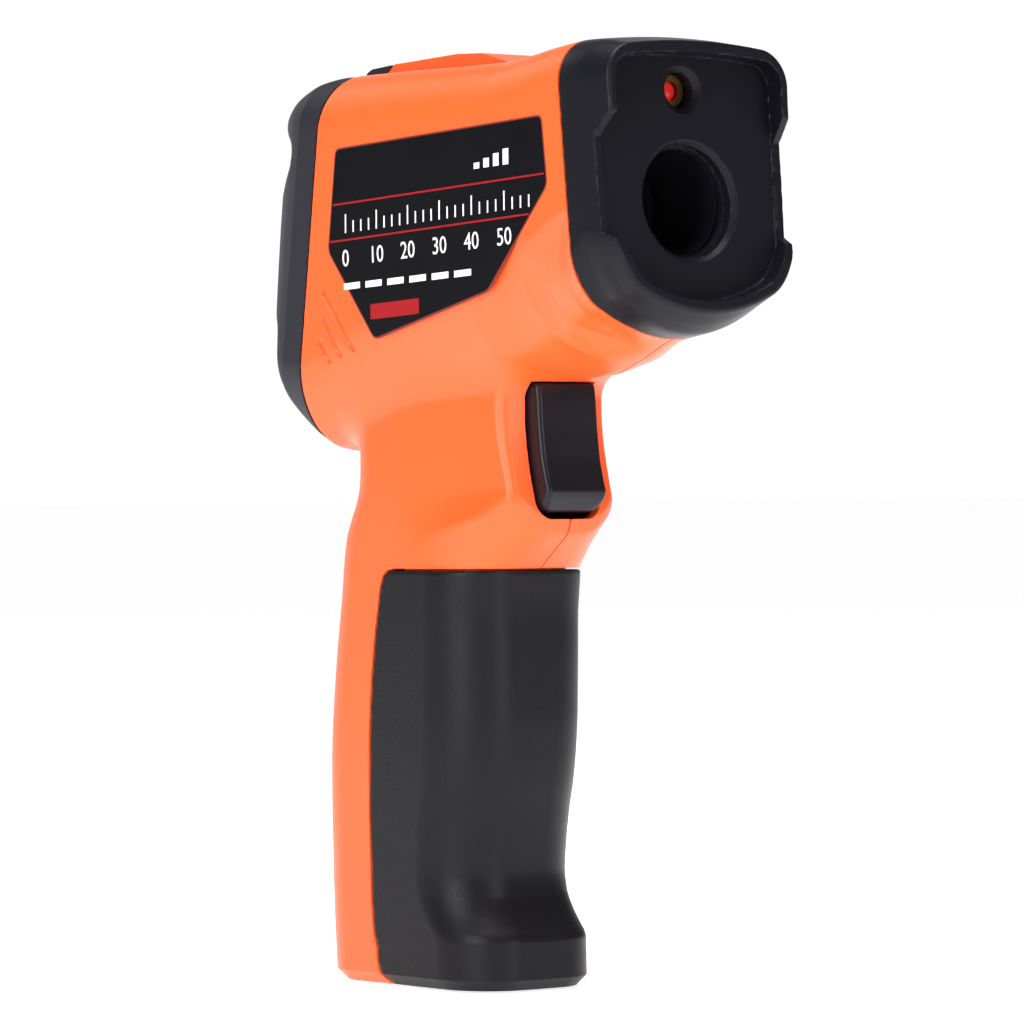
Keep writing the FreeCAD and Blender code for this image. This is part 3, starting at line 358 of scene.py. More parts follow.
belly_keel = smooth_line([(28, 0.0), (33, 0.12), (37, 0.24), (41, 0.30), (44, 0.24), (47, 0.12), (56, 0.0)])
top_crown = smooth_line([(-20, 0.0017), (20, 0.0020), (44, 0.0036), (66, 0.0044)])

DIAGONAL = 0.7071  # sine and cosine of 45 degrees
FOOT_CHAMFER = 1.8
CHIN_CHAMFER = 0.75
HANDLE_END = 110.0

# the handle from the side, as (Z, X), and its half width
back_line = smooth_line([(0, -23.6), (8, -24.2), (18, -24.7), (29, -24.9), (39, -24.7), (50, -23.7),
                         (58, -22.6), (65, -21.3), (76, -18.9), (79.4, -17.2), (82.4, -15.5),
                         (85.2, -14.6), (88, -14.4), (105, -14.4)])
grip_front = smooth_line([(8.4, 22.9), (9.2, 22.5), (10.8, 21.1), (13, 19.4), (16, 17.9), (19.6, 17.4),
                          (24, 17.7), (30, 18.5), (35, 19.5), (40, 20.1), (47, 20.5), (56, 20.5),
                          (63, 20.4), (71, 20.9)])
chin_front = smooth_line([(70, 20.6), (71, 21.6), (74.5, 25.9), (77, 29.0), (78.6, 30.6), (81, 33.0),
                          (86, 36.8), (110, 40.0)])
chin_slope = smooth_line([(70, 0.5), (72, 1.1), (77, 1.3), (80, 0.9), (86, 0.4), (110, 0.1)])
face_front = smooth_line([(66, 32.0), (76, 30.5), (78, 30.2), (80, 30.0), (82.2, 29.6), (85.3, 28.7),
                          (89.4, 27.8), (94.5, 27.2), (99.5, 27.1), (102, 27.5), (104.5, 29.0),
                          (108, 31.0)])
face_bow = smooth_line([(74, 0.003), (78, 0.006), (81, 0.0095), (86, 0.0095), (93, 0.0130), (97, 0.0150),
                        (104, 0.015)])
front_slope = smooth_line([(9, 0.5), (20, 0.05), (60, 0.0), (70, 0.4), (71, 0.5)])
front_corner = smooth_line([(0, 9.5), (9, 10.0), (20, 11.0), (60, 10.6), (71, 9.8)])
chin_corner = smooth_line([(70, 9.8), (75, 11.5), (79, 10.0), (84, 8.0), (110, 8.0)])
back_corner = smooth_line([(0, 9.5), (60, 10.5), (85, 9.0), (110, 9.0)])
handle_width = smooth_line([(0, 14.5), (8, 14.6), (20, 14.7), (40, 15.1), (60, 15.3), (72, 15.4),
                            (84, 15.6), (110, 15.6)])

# the barrel is dished low behind the nose, in front of this ridge, as (X, Z)
flank_ridge = drawn([(62.0, 131.5), (52.0, 129.0), (44.5, 125.0), (41.6, 121.0), (41.0, 116.0),
                     (42.0, 110.5), (44.4, 106.8), (47.2, 104.6), (53, 92), (90, 92), (90, 131)],
                    soften=0.3)
FLANK_DISH = 1.7
BELLY_DISH = 2.0
DISH_RUN = 5.5
NOSE_RUN = 5.0


def barrel(x, side, z):
    """The barrel without its ends."""
    flank = side - width_line(x)
    over = z - (top_line(x) - top_crown(x) * side * side)
    crown = belly_crown(x)
    keel = belly_keel(x)
    bottom = belly_line(x) + crown * side * side + keel * (np.hypot(side, 1.2) - 1.2)
    under = (bottom - z) / np.sqrt(1 + (2 * crown * side + keel) ** 2)
    past_ridge = np.clip(-flank_ridge(x, z) / DISH_RUN, 0, 1)
    before_nose = np.clip(-ahead_of(x, z, FRONT_ORIGIN, FRONT_TILT) / NOSE_RUN, 0, 1)
    dish = np.minimum(past_ridge, before_nose)
    dished_belly = under + BELLY_DISH * dish * step_between(side, 1, 9)
    low = both(flank + FLANK_DISH * dish, dished_belly, belly_corner(x))
    return both(low, over, top_corner(x))


def handle(x, side, z):
    """Handle and neck, solid, from the foot up into the barrel."""
    lean = step_between(z, 72, 85)
    flank = (side - handle_width(z) + 4.3 * lean * step_between(x, 1, 28)) / np.sqrt(1 + (0.2 * lean) ** 2)
    back = back_line(z) - x
    bowed = 0.006 * side * side
    grip = both(both(flank, back, back_corner(z)),
                (x - grip_front(z) + bowed) / np.sqrt(1 + front_slope(z) ** 2), front_corner(z))
    chin = both(both(flank, back, back_corner(z)),
                (x - chin_front(z) + bowed) / np.sqrt(1 + chin_slope(z) ** 2), chin_corner(z))
    face = x - face_front(z) + face_bow(z) * side * side
    chamfer = (np.maximum(chin, flank) + face) * DIAGONAL + CHIN_CHAMFER
    neck = both(both(chin, face), chamfer, 0.25)
    body = np.where(z < DOOR_TOP - 0.4, grip, neck)
    foot = -z
    footed = np.maximum(np.maximum(body, foot), (body + foot + FOOT_CHAMFER) * DIAGONAL)
    return np.maximum(footed, z - HANDLE_END)


def outside(x, y, z):
    """The whole moulded outside: barrel and handle run together."""
    side = np.sqrt(y * y + 1e-4)
    return either(barrel(x, side, z), handle(x, side, z), 3.6 + 1.2 * step_between(-x, 6, 14))


# ------------------------------------------------------------------ openings and details

# the battery door is everything in front of this line, as (X, Z)
HEEL_RADIUS = 5.8
HEEL = [(HEEL_RADIUS * math.cos(turn), HINGE_Z + HEEL_RADIUS * math.sin(turn))
        for turn in [math.radians(170 + 10 * i) for i in range(7)]]
door_area = drawn([(60, DOOR_TOP), (0.6, DOOR_TOP), (-1.2, 70.7), (-2.5, 69.8), (-3.3, 68.0), (-4.8, 60.3),
                   (-5.9, 53.1), (-6.7, 44.8), (-7.1, 35), (-7.3, 28.7), (-7.1, 13.8), (-6.6, 8.7)] + HEEL
                  + [(-2.95, -6), (60, -6)])
rail_side = drawn([(-11.0, 150), (-10.4, 156.2), (-8.0, 157.95), (2.0, 158.3), (9.5, 158.6), (16.5, 158.3),
                   (24.0, 156.3), (40, 150)], soften=0.12)
tongue_side = drawn([(-18.0, 154.2), (-16.3, 156.9), (-14.9, 157.5), (-8.4, 157.95), (-10.7, 156.55),
                     (-12.8, 156.6), (-13.2, 152.5)], soften=0.12)
RAIL_HALF_WIDTH = 8.0
RAIL_RISE = 2.6
GROOVES = [((-12.1, 118.4), (-4.4, 108.9)),
           ((-12.8, 114.2), (-8.0, 107.9)),
           ((-13.4, 109.9), (-11.2, 106.9))]
GROOVE_DEPTH = 0.5
GROOVE_HALF_WIDTHS = (0.35, 0.8)  # at the bottom and at the brim
SCREWS = [(-6.0, 148.5), (44.0, 113.2), (-11.5, 97.5), (-16.5, 62.0), (-18.5, 16.0)]
SCREW_HEAD_HOLE = 2.7
SCREW_HEAD_SEAT = 9.0
BOSS_RADIUS = 4.1
BOSS_START = 7.0
trigger_slot = drawn([(20.0, 75.0), (60, 75.0), (60, 102.6), (24.4, 102.6), (24.4, 106.0), (20.0, 106.0)])

# gaps for the leads through the floor and the ribs, as (middle X, half width)
LEAD_GAP_HALF = 3.5
FLOOR_GAP = (-13.5, 5.0)
RIB_GAP = (-17.5, 3.0)

# the rim under the neck: its two depths under the skin, middle height, half height and rear end
NECK_RIM_DEPTHS = (2.25, 3.4)
NECK_RIM_Z = 70.7
NECK_RIM_HALF = 1.3
NECK_RIM_REAR = 0.8

# the lip along the centre seam: its two depths under the skin, and how far it reaches over
LIP_DEPTHS = (0.9, 2.2)
LIP_REACH = 0.45
LIP_PLAY = 0.08
LIP_END_PLAY = 0.1


def near_line(x, z, a, b):
    """Distance to the straight piece from a to b."""
    dx, dz = b[0] - a[0], b[1] - a[1]
    t = np.clip(((x - a[0]) * dx + (z - a[1]) * dz) / (dx * dx + dz * dz), 0, 1)
    return np.hypot(x - a[0] - t * dx, z - a[1] - t * dz)


def handle_ribs(x, side, z, skin):
    """The floor over the grip and the level ribs behind the battery frame."""
    floor = np.maximum(skin, np.abs(z - FLOOR_Z) - FLOOR_HALF)
    floor = without(floor, np.maximum(np.abs(x - FLOOR_GAP[0]) - LEAD_GAP_HALF, side - FLOOR_GAP[1]))
    rib = np.minimum(np.abs(z - RIB_HEIGHTS[0]), np.abs(z - RIB_HEIGHTS[1])) - RIB_HALF
    rib = np.maximum(np.maximum(skin, rib), x - RIB_FRONT)
    rib = without(rib, np.maximum(np.abs(x - RIB_GAP[0]) - LEAD_GAP_HALF, side - RIB_GAP[1]))
    return np.minimum(floor, rib)


def neck_rim(x, z, skin):
    """The rim under the neck that stands inside the grip and closes the gap over it."""
    ring = np.maximum(skin + NECK_RIM_DEPTHS[0], -skin - NECK_RIM_DEPTHS[1])
    rim = np.maximum(ring, np.abs(z - NECK_RIM_Z) - NECK_RIM_HALF)
    return np.maximum(rim, NECK_RIM_REAR - x)


def casing_field(hand):
    """Field of one half of the casing; hand is -1 for the right half, +1 for the left."""

    def field(x, y, z):
        side = y * hand
        skin = outside(x, side, z)
        groove = np.full(x.shape, 9.0)
        for a, b in GROOVES:
            groove = np.minimum(groove, near_line(x, z, a, b))
        cut = 1 - step_between(groove, *GROOVE_HALF_WIDTHS)
        skin = skin + GROOVE_DEPTH * cut * (side > 15)
        depth, _ = rear_local(x, z)
        ends = np.maximum(depth + 0.2, ahead_of(x, z, FRONT_ORIGIN, FRONT_TILT) + SEAM)
        shell = both(skin, ends, 0.12)
        rail = np.maximum(rail_side(x, z), side - RAIL_HALF_WIDTH)
        shell = np.minimum(shell, np.maximum(rail, skin - RAIL_RISE))
        hollow = skin + WALL
        shell = np.minimum(without(shell, hollow), handle_ribs(x, side, z, skin))
        door_cut = door_area(x, z) - DOOR_PLAY
        shell = np.minimum(without(shell, door_cut, 0.2), neck_rim(x, z, skin))
        slot_front = box_distance(side, z - TRIGGER_MIDDLE_Z, SLOT_HALF_WIDTH, SLOT_HALF_HEIGHT,
                                  SLOT_CORNER)
        slot_cut = np.maximum(trigger_slot(x, z), slot_front)
        shell = without(shell, slot_cut, 0.2)
        if hand > 0:
            for sx, sz in SCREWS:
                reach = np.hypot(x - sx, z - sz)
                bore = np.maximum(reach - SCREW_HEAD_HOLE, SCREW_HEAD_SEAT - side)
                boss = np.maximum(reach - BOSS_RADIUS, np.maximum(BOSS_START - side, skin))
                shell = without(np.minimum(shell, np.maximum(boss, -door_cut)), bore)
        half = np.maximum(shell, SEAM - side)
        lip = np.maximum(skin + LIP_DEPTHS[0], -skin - LIP_DEPTHS[1])
        lip = without(np.maximum(lip, ends + 0.5), np.minimum(door_cut, slot_cut))
        if hand < 0:
            return np.minimum(half, np.maximum(lip, np.abs(side) - LIP_REACH))
        return without(half, np.maximum(lip - LIP_PLAY, side - LIP_REACH - LIP_END_PLAY))

    return field


# the recess in the nose's face and the notches in its sides, as (X, Z)
notch_area = drawn([(65.1, 146.2), (61.15, 141.6), (62.65, 125.9), (65.5, 124.7), (66.9, 120.9), (80, 120.9),
                    (80, 146.2)], soften=0.12)
NOTCH_START = 15.0
POCKET_INSET = 1.5
POCKET_TOP = 155.6
POCKET_BOTTOM = 115.0
POCKET_BOTTOM_RADIUS = 28.0
NOSE_WALL = 1.7
FACE_WALL = 3.4
LENS_SEAT_DEPTH = 2.4


def nose_field(x, y, z):
    """Field of the nose cap."""
    side = np.abs(y)
    skin = barrel(x, np.sqrt(y * y + 1e-4), z)
    join = ahead_of(x, z, FRONT_ORIGIN, FRONT_TILT)
    rim = ahead_of(x, z, RIM_ORIGIN, RIM_TILT)
    face = ahead_of(x, z, FACE_ORIGIN, FACE_TILT)
    cap = both(skin, SEAM - join, 0.3)
    cap = both(cap, rim, 0.45)
    over = z - POCKET_TOP + side * side * 0.0040
    under = POCKET_BOTTOM + side * side / (2 * POCKET_BOTTOM_RADIUS) - z
    under = under / np.sqrt(1 + (side / POCKET_BOTTOM_RADIUS) ** 2)
    pocket = both(both(side - width_line(x) + POCKET_INSET, over, 3.4), under, 4.8)
    cap = without(cap, both(pocket, -face, 0.35), 0.3)
    cap = without(cap, np.maximum(notch_area(x, z), NOTCH_START - side), 0.2)
    reach = np.hypot(y, z - LENS_Z)
    mouth = np.maximum(reach - LENS_BORE - np.clip(face + 0.85, 0, 2), -LENS_SEAT_DEPTH - face)
    cap = without(cap, np.minimum(mouth, reach - LENS_SEAT), 0.08)
    laser = np.hypot(y, z - LASER_Z)
    cap = without(cap, laser - LASER_BORE - np.clip(face + 0.95, 0, 2), 0.08)
    behind = np.maximum(skin + NOSE_WALL, face + FACE_WALL)
    return without(cap, behind)


# the display surround from the side, as (local depth, local height)
SURROUND = [(-1.0, 22.3), (0, 22.1), (2.5, 21.8), (6.0, 19.9), (9.5, 16.6), (11.2, 13.6), (11.6, 11.4),
            (10.5, 10.0), (8.9, 8.9), (8.5, 7.6), (8.8, 5.4), (10.2, 2.7), (11.3, 0), (11.2, -6),
            (10.7, -14.6), (10.2, -21), (9.2, -23), (8.6, -28), (7.5, -31.4), (5.5, -35), (2.5, -38.8),
            (0, -43.3), (-1.0, -44.6)]
surround_side = drawn(SURROUND, soften=0.45, step=0.15)
surround_inset = smooth_line([(0, 0.0), (5.2, 0.0), (5.8, 0.08), (8.0, 0.45), (10.5, 1.2), (12.5, 2.4)])
SURROUND_WALL = 1.8
SURROUND_HOLLOW = 8.6
TONGUE_HALF_WIDTH = 7.75
WINDOW_HEIGHT = -8.2
WINDOW_HALF = (15.0, 11.85)
WINDOW_PLAY = 0.12
LEDGE_HALF = (16.4, 13.4)
LEDGE_DEPTH = 8.4
KEY_ROW = -28.0
KEY_PLACES = (-10.0, 0.0, 10.0)
KEY_HOLE_HALF = (4.25, 2.95)


def surround_skin(depth, side, height):
    """The outside of the display surround."""
    cos, sin = math.cos(REAR_TILT), math.sin(REAR_TILT)
    edge = barrel(REAR_ORIGIN[0] + height * sin, side, REAR_ORIGIN[1] + height * cos)
    plan = edge + surround_inset(depth)
    return both(plan, surround_side(depth, height), 1.4)


def surround_field(x, y, z):
    """Field of the display surround, with its window, key holes and tongue."""
    side = np.sqrt(y * y + 1e-4)
    depth, height = rear_local(x, z)
    skin = surround_skin(depth, side, height)
    shell = both(skin, 0.2 - depth, 0.12)
    tongue = np.maximum(tongue_side(x, z), side - TONGUE_HALF_WIDTH)
    shell = np.minimum(shell, tongue)
    hollow = np.maximum(skin + SURROUND_WALL, depth - SURROUND_HOLLOW)
    window = box_distance(y, height - WINDOW_HEIGHT, *WINDOW_HALF, 0.8)
    flare = np.clip(depth - 9.6, 0, 3) * 0.6
    shell = without(shell, np.maximum(window - WINDOW_PLAY - flare, 4.0 - depth), 0.25)
    ledge = box_distance(y, height - WINDOW_HEIGHT, *LEDGE_HALF, 1.0)
    shell = without(shell, np.maximum(ledge, np.maximum(depth - LEDGE_DEPTH, 4.0 - depth)))
    for place in KEY_PLACES:
        hole = box_distance(y - place, height - KEY_ROW, *KEY_HOLE_HALF, 1.3)
        shell = without(shell, np.maximum(hole, 2.0 - depth), 0.3)
    return without(shell, hollow)


def grip_field(x, y, z):
    """Field of the grip, which is the battery door."""
    side = np.sqrt(y * y + 1e-4)
    skin = handle(x, side, z)
    body = both(skin, door_area(x, z) + DOOR_PLAY, 0.45)
    shell = without(body, skin + WALL)
    turn = np.hypot(x, z - HINGE_Z)
    pin = np.maximum(turn - PIN_RADIUS, PIN_START - side)
    collar = np.maximum(turn - COLLAR_RADIUS, COLLAR_START - side)
    return np.minimum(shell, np.maximum(np.minimum(pin, collar), side - COLLAR_END))


TRIGGER_SIDE = [(19.4, 107.0), (21.0, 109.4), (23.0, 109.4), (24.2, 107.0), (24.2, 102.4), (29.1, 102.4),
                (29.5, 99.6), (29.9, 94.4), (30.6, 89.4), (31.6, 85.8), (32.2, 84.2), (31.9, 83.2),
                (29.9, 80.3), (22.2, 80.3), (22.2, 97.5), (19.4, 101.5)]
TRIGGER_HOLLOW = 0.0042
TRIGGER_EDGE = 6.7
TRIGGER_WALL = 1.9
PIVOT_RADIUS = 1.4
trigger_side = drawn(TRIGGER_SIDE, soften=0.35, step=0.15)


def trigger_field(x, y, z):
    """Field of the trigger."""
    profile = trigger_side(x + TRIGGER_HOLLOW * (TRIGGER_EDGE ** 2 - y * y), z)
    front = box_distance(y, z - TRIGGER_MIDDLE_Z, TRIGGER_HALF_WIDTH, TRIGGER_HALF_HEIGHT, TRIGGER_CORNER)
    body = both(profile, front, 1.0)
    hollow = np.maximum(np.maximum(profile + TRIGGER_WALL, np.abs(y) - 5.0), x - 28.5)
    hollow = np.maximum(hollow, z - 96.5)
    pivot = np.hypot(x - TRIGGER_PIVOT[0], z - TRIGGER_PIVOT[1]) - PIVOT_RADIUS
    return without(without(body, hollow), pivot)


# ------------------------------------------------------------------ finishes


def linear(red, green, blue):
    """A colour given as screen values 0 to 255, as the light it stands for."""
    def one(value):
        value /= 255.0
        return value / 12.92 if value <= 0.04045 else ((value + 0.055) / 1.055) ** 2.4
    return one(red), one(green), one(blue), 1.0


def finish(name, colour, rough, mottle=0.04, grain=0.0, grain_size=0.35, metal=0.0, clear=0.0, glow=None,
           shine=0.5, coat=0.0, solid=1.0):
    """A plastic, metal or glass with slightly uneven colour and roughness and a fine grain.

    mottle is the share by which the colour wanders, grain the height of the moulded
    texture in millimetres and grain_size its size in millimetres.  solid below 1 lets
    what is behind show through.
    """
    material = bpy.data.materials.new(name)
    material.use_nodes = True
    nodes, links = material.node_tree.nodes, material.node_tree.links
    shader = nodes["Principled BSDF"]
    shader.inputs["Metallic"].default_value = metal
    shader.inputs["Specular IOR Level"].default_value = shine
    shader.inputs["Transmission Weight"].default_value = clear
    shader.inputs["Coat Weight"].default_value = coat
    shader.inputs["Alpha"].default_value = solid
    shader.inputs["Coat Roughness"].default_value = 0.12
    place = nodes.new("ShaderNodeTexCoord")
    cloud = nodes.new("ShaderNodeTexNoise")
    cloud.inputs["Scale"].default_value = 90.0
    cloud.inputs["Detail"].default_value = 3.0
    links.new(place.outputs["Object"], cloud.inputs["Vector"])
    tint = nodes.new("ShaderNodeMix")
    tint.data_type = "RGBA"
    tint.inputs["A"].default_value = tuple(c * (1 - mottle) for c in colour[:3]) + (1.0,)
    tint.inputs["B"].default_value = tuple(min(c * (1 + mottle), 1.0) for c in colour[:3]) + (1.0,)
    links.new(cloud.outputs["Fac"], tint.inputs["Factor"])
    links.new(tint.outputs["Result"], shader.inputs["Base Color"])
    spread = nodes.new("ShaderNodeMapRange")
    spread.inputs["To Min"].default_value = max(rough - 0.04, 0.02)
    spread.inputs["To Max"].default_value = min(rough + 0.04, 1.0)
    links.new(cloud.outputs["Fac"], spread.inputs["Value"])
    links.new(spread.outputs["Result"], shader.inputs["Roughness"])
    if grain > 0:
        speck = nodes.new("ShaderNodeTexNoise")
        speck.inputs["Scale"].default_value = 1000.0 / grain_size
        speck.inputs["Detail"].default_value = 2.0
        links.new(place.outputs["Object"], speck.inputs["Vector"])
        bump = nodes.new("ShaderNodeBump")
        bump.inputs["Strength"].default_value = 1.0
        bump.inputs["Distance"].default_value = grain * MM
        links.new(speck.outputs["Fac"], bump.inputs["Height"])
        links.new(bump.outputs["Normal"], shader.inputs["Normal"])
    if glow:
        shader.inputs["Emission Color"].default_value = glow[:3] + (1.0,)
        shader.inputs["Emission Strength"].default_value = glow[3]
    return material


FINISHES = {
    "orange_plastic": finish("orange", linear(252, 92, 36), 0.36, 0.02, grain=0.010, grain_size=0.30,
                             shine=0.40),
    "black_plastic": finish("black", linear(19, 19, 25), 0.36, 0.12, grain=0.010, grain_size=0.28,
                            shine=0.14),
    "dark_grey_plastic": finish("dark_grey", linear(36, 35, 42), 0.40, 0.06, grain=0.012, shine=0.22),
    "grip_plastic": finish("grip", linear(21, 20, 24), 0.38, 0.12, grain=0.040, grain_size=0.34, shine=0.15),
    "trigger_plastic": finish("trigger", linear(23, 21, 26), 0.32, 0.10, grain=0.012, shine=0.24),
    "label_print": finish("label", linear(10, 9, 14), 0.30, 0.12, shine=0.12),
    "window_plastic": finish("window", linear(20, 22, 26), 0.10, 0.05, coat=0.3, solid=0.35),
    "lcd_glass": finish("lcd", linear(138, 150, 128), 0.22, 0.03, coat=0.3),
    "light_guide": finish("light_guide", linear(232, 232, 226), 0.35, 0.02),
    "board_green": finish("board", linear(18, 84, 50), 0.40, 0.12, grain=0.01),
    "chip_black": finish("chip", linear(24, 24, 26), 0.50, 0.08, grain=0.01),
    "key_plastic": finish("key", linear(150, 152, 158), 0.42, 0.03, grain=0.01),
    "steel": finish("steel", linear(172, 172, 176), 0.30, 0.06, metal=1.0),
    "nickel": finish("nickel", linear(196, 192, 182), 0.26, 0.05, metal=1.0),
    "brass": finish("brass", linear(98, 74, 46), 0.38, 0.16, metal=1.0),
    "ir_lens": finish("lens", linear(70, 62, 70), 0.08, 0.05, clear=0.2, coat=0.5),
    # the laser lens carries a faint painted red glow through its emission
    "laser_glass": finish("laser", linear(150, 10, 12), 0.12, 0.10, coat=0.3, glow=(1.0, 0.04, 0.04, 0.35)),
    "rubber_strip": finish("rubber", linear(96, 96, 100), 0.70, 0.08, grain=0.02),
    "cell_wrap": finish("cell", linear(40, 92, 80), 0.30, 0.05, coat=0.3),
    "wire": finish("lead", linear(170, 32, 30), 0.40, 0.05),
}
PRINTS = {
    "white": finish("print_white", linear(236, 236, 236), 0.45, 0.02),
    "red": finish("print_red", linear(150, 22, 28), 0.40, 0.03, shine=0.15),
    "red_edge": finish("print_edge", linear(120, 34, 24), 0.50, 0.05),
}
SLOT_OF = {part["node"]: part["material_slot"] for part in frame["record"]["subparts"]}
for node, thing in frame["nodes"].items():
    thing.data.materials.clear()
    thing.data.materials.append(FINISHES[SLOT_OF[node]])
    smooth_shade(thing, 28.0)

# ------------------------------------------------------------------ moulded parts

BELOW_FOOT = 1.5  # how far the boxes that are searched for a surface go down past the foot
for hand, word in ((-1, "right"), (1, "left")):
    low_y, high_y = (-22.0, 0.6) if hand < 0 else (-0.6, 22.0)
    casing = moulded(f"{word}_casing", casing_field(hand), (-27, low_y, -BELOW_FOOT), (60, high_y, 161),
                     0.42, "root", [f"{word}_housing"], FINISHES["orange_plastic"])
nose = moulded("nose_shell", nose_field, (48, -22, 104), (70, 22, 161), 0.30, "root", ["nose_cap"],
               FINISHES["black_plastic"])
surround = moulded("rear_surround", surround_field, (-32, -22, 88), (-6, 22, 161), 0.32, "root",
                   ["rear_bezel"], FINISHES["dark_grey_plastic"])
grip = moulded("grip_shell", grip_field, (-11, -17, -BELOW_FOOT), (26, 17, 73), 0.40, "battery_door",
               ["battery_door"], FINISHES["grip_plastic"])
finger = moulded("trigger_shell", trigger_field, (17, -8, 79), (35, 8, 111), 0.26, "trigger", ["trigger"],
                 FINISHES["trigger_plastic"])


def coil_spring(name, start, length, radius, wire, turns):
    """A coil of round wire that runs along +X from start; all in millimetres."""
    rings, sides = turns * 28 + 1, 10
    share = np.linspace(0, 1, rings)[:, None]
    turn = share * turns * 2 * math.pi
    round_wire = np.linspace(0, 2 * math.pi, sides, endpoint=False)[None, :]
    out = radius + wire * np.cos(round_wire)
    across = start[0] + wire + share * (length - 2 * wire) + wire * np.sin(round_wire)
    vertices = np.stack([across, start[1] + out * np.cos(turn), start[2] + out * np.sin(turn)], axis=2)
    vertices = vertices.reshape(-1, 3)
    faces = []
    for ring in range(rings - 1):
        for j in range(sides):
            a, b = ring * sides + j, ring * sides + (j + 1) % sides
            faces.append([a, a + sides, b + sides, b])
    faces += [list(range(sides)), list(range((rings - 1) * sides, rings * sides))[::-1]]
    mesh = bpy.data.meshes.new(name)
    mesh.from_pydata([tuple(v) for v in vertices * MM], [], faces)
    mesh.update()
    thing = bpy.data.objects.new(name, mesh)
    bpy.context.scene.collection.objects.link(thing)
    smooth_shade(thing, 60.0)
    mesh.materials.append(FINISHES["steel"])
    return thing


# the return spring sits between the switch board and the trigger, which press it together as the trigger is
# pulled; here it is a fixed coil, not attached to the trigger
SPRING_START = (13.0, 0.0, 83.6)
SPRING_LENGTH = 8.6
spring = coil_spring("return_spring", SPRING_START, SPRING_LENGTH, 2.2, 0.3, 5)
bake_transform(spring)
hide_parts("trigger_spring")

# ------------------------------------------------------------------ printed labels

LABEL_OUTLINE = [(-8.0, 142.6), (48.2, 145.2), (49.6, 134.2), (33.8, 117.6), (2.7, 110.5), (-10.2, 125.6)]


def grown(corners, margin, radius=0.0, steps=5):
    """A closed outline pushed outward by margin, with its corners rounded."""
    middle = np.mean(corners, axis=0)
    count = len(corners)
    lines = []
    for i in range(count):
        a, b = np.array(corners[i], float), np.array(corners[(i + 1) % count], float)
        along = (b - a) / np.linalg.norm(b - a)
        out = np.array([along[1], -along[0]])
        if out @ (a - middle) < 0:
            out = -out
        lines.append((a + out * margin, along))
    path = []
    for i in range(count):
        (p, d), (q, e) = lines[i - 1], lines[i]
        across = d[0] * e[1] - d[1] * e[0]
        t = ((q - p)[0] * e[1] - (q - p)[1] * e[0]) / across
        corner = p + d * t
        for k in range(steps + 1):
            share = k / steps
            path.append((1 - share) ** 2 * (corner - d * radius) + 2 * share * (1 - share) * corner
                        + share ** 2 * (corner + e * radius))
    return path


def plate(outline, hand, low, high):
    """Vertices and faces of an (X, Z) outline standing from low to high out of a flank."""
    count = len(outline)
    vertices = [(x, hand * out, z) for out in (low, high) for x, z in outline]
    faces = [list(range(count))[::-1], list(range(count, 2 * count))]
    for i in range(count):
        j = (i + 1) % count
        faces.append([i, j, count + j, count + i])
    if hand > 0:
        faces = [face[::-1] for face in faces]
    return vertices, faces


def flat_piece(name, plates, body, material):
    """One object of several plates."""
    vertices, faces = [], []
    for some, turns in plates:
        base = len(vertices)
        vertices += [tuple(c * MM for c in v) for v in some]
        faces += [[base + i for i in face] for face in turns]
    mesh = bpy.data.meshes.new(name)
    mesh.from_pydata(vertices, [], faces)
    mesh.update()
    thing = bpy.data.objects.new(name, mesh)
    bpy.context.scene.collection.objects.link(thing)
    mesh.materials.append(material)
    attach(thing, body)
    return thing


LABEL_TOP = HALF_WIDTH + 0.06
PRINT_TOP = LABEL_TOP + 0.03
LABEL_SLOPE = 0.045
RULE_HEIGHT = 0.32
SCALE_START = -5.6
TICK_PITCH = 2.2
TICK_WIDTH = 0.34
TICK_FOOT = 128.3
NUMBER_FOOT = 122.6
NUMBER_HEIGHT = 3.0
DASH_START = -6.0
DASH_PITCH = 6.2
DASH_FOOT = 118.6


def bar(x, z, wide, tall, hand):
    """A printed bar whose ends follow the label's slope; (x, z) is its lower corner."""
    rise = LABEL_SLOPE * wide
    corners = [(x, z), (x + wide, z + rise), (x + wide, z + rise + tall), (x, z + tall)]
    return plate(corners, hand, LABEL_TOP - 0.1, PRINT_TOP)


def digits(name, text, x, z, tall, hand):
    """Scale numbers as flat letters; x, z is the middle of their foot."""
    words = bpy.data.curves.new(name, "FONT")
    words.body = text
    words.align_x = "CENTER"
    words.size = tall * 1.38 * MM
    words.extrude = 0.02 * MM
    words.resolution_u = 3
    raw = bpy.data.objects.new(name, words)
    bpy.context.scene.collection.objects.link(raw)
    bpy.context.view_layer.update()
    mesh = bpy.data.meshes.new_from_object(raw.evaluated_get(bpy.context.evaluated_depsgraph_get()))
    bpy.data.objects.remove(raw)
    thing = bpy.data.objects.new(name, mesh)
    tilt = math.atan(LABEL_SLOPE)
    upright = Matrix.Rotation(math.pi / 2, 4, "X") @ Matrix.Rotation(tilt if hand < 0 else -tilt, 4, "Z")
    if hand > 0:
        upright = Matrix.Rotation(math.pi, 4, "Z") @ upright
    mesh.transform(Matrix.Translation((x * MM, hand * (LABEL_TOP + 0.015) * MM, z * MM)) @ upright)
    bpy.context.scene.collection.objects.link(thing)
    mesh.materials.clear()
    mesh.materials.append(PRINTS["white"])
    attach(thing, "root")
    return thing


def line_height(x, start):
    """Height of the label's slanted ruling at X for a ruling that starts at start."""
    return start + LABEL_SLOPE * (x + 9.0)


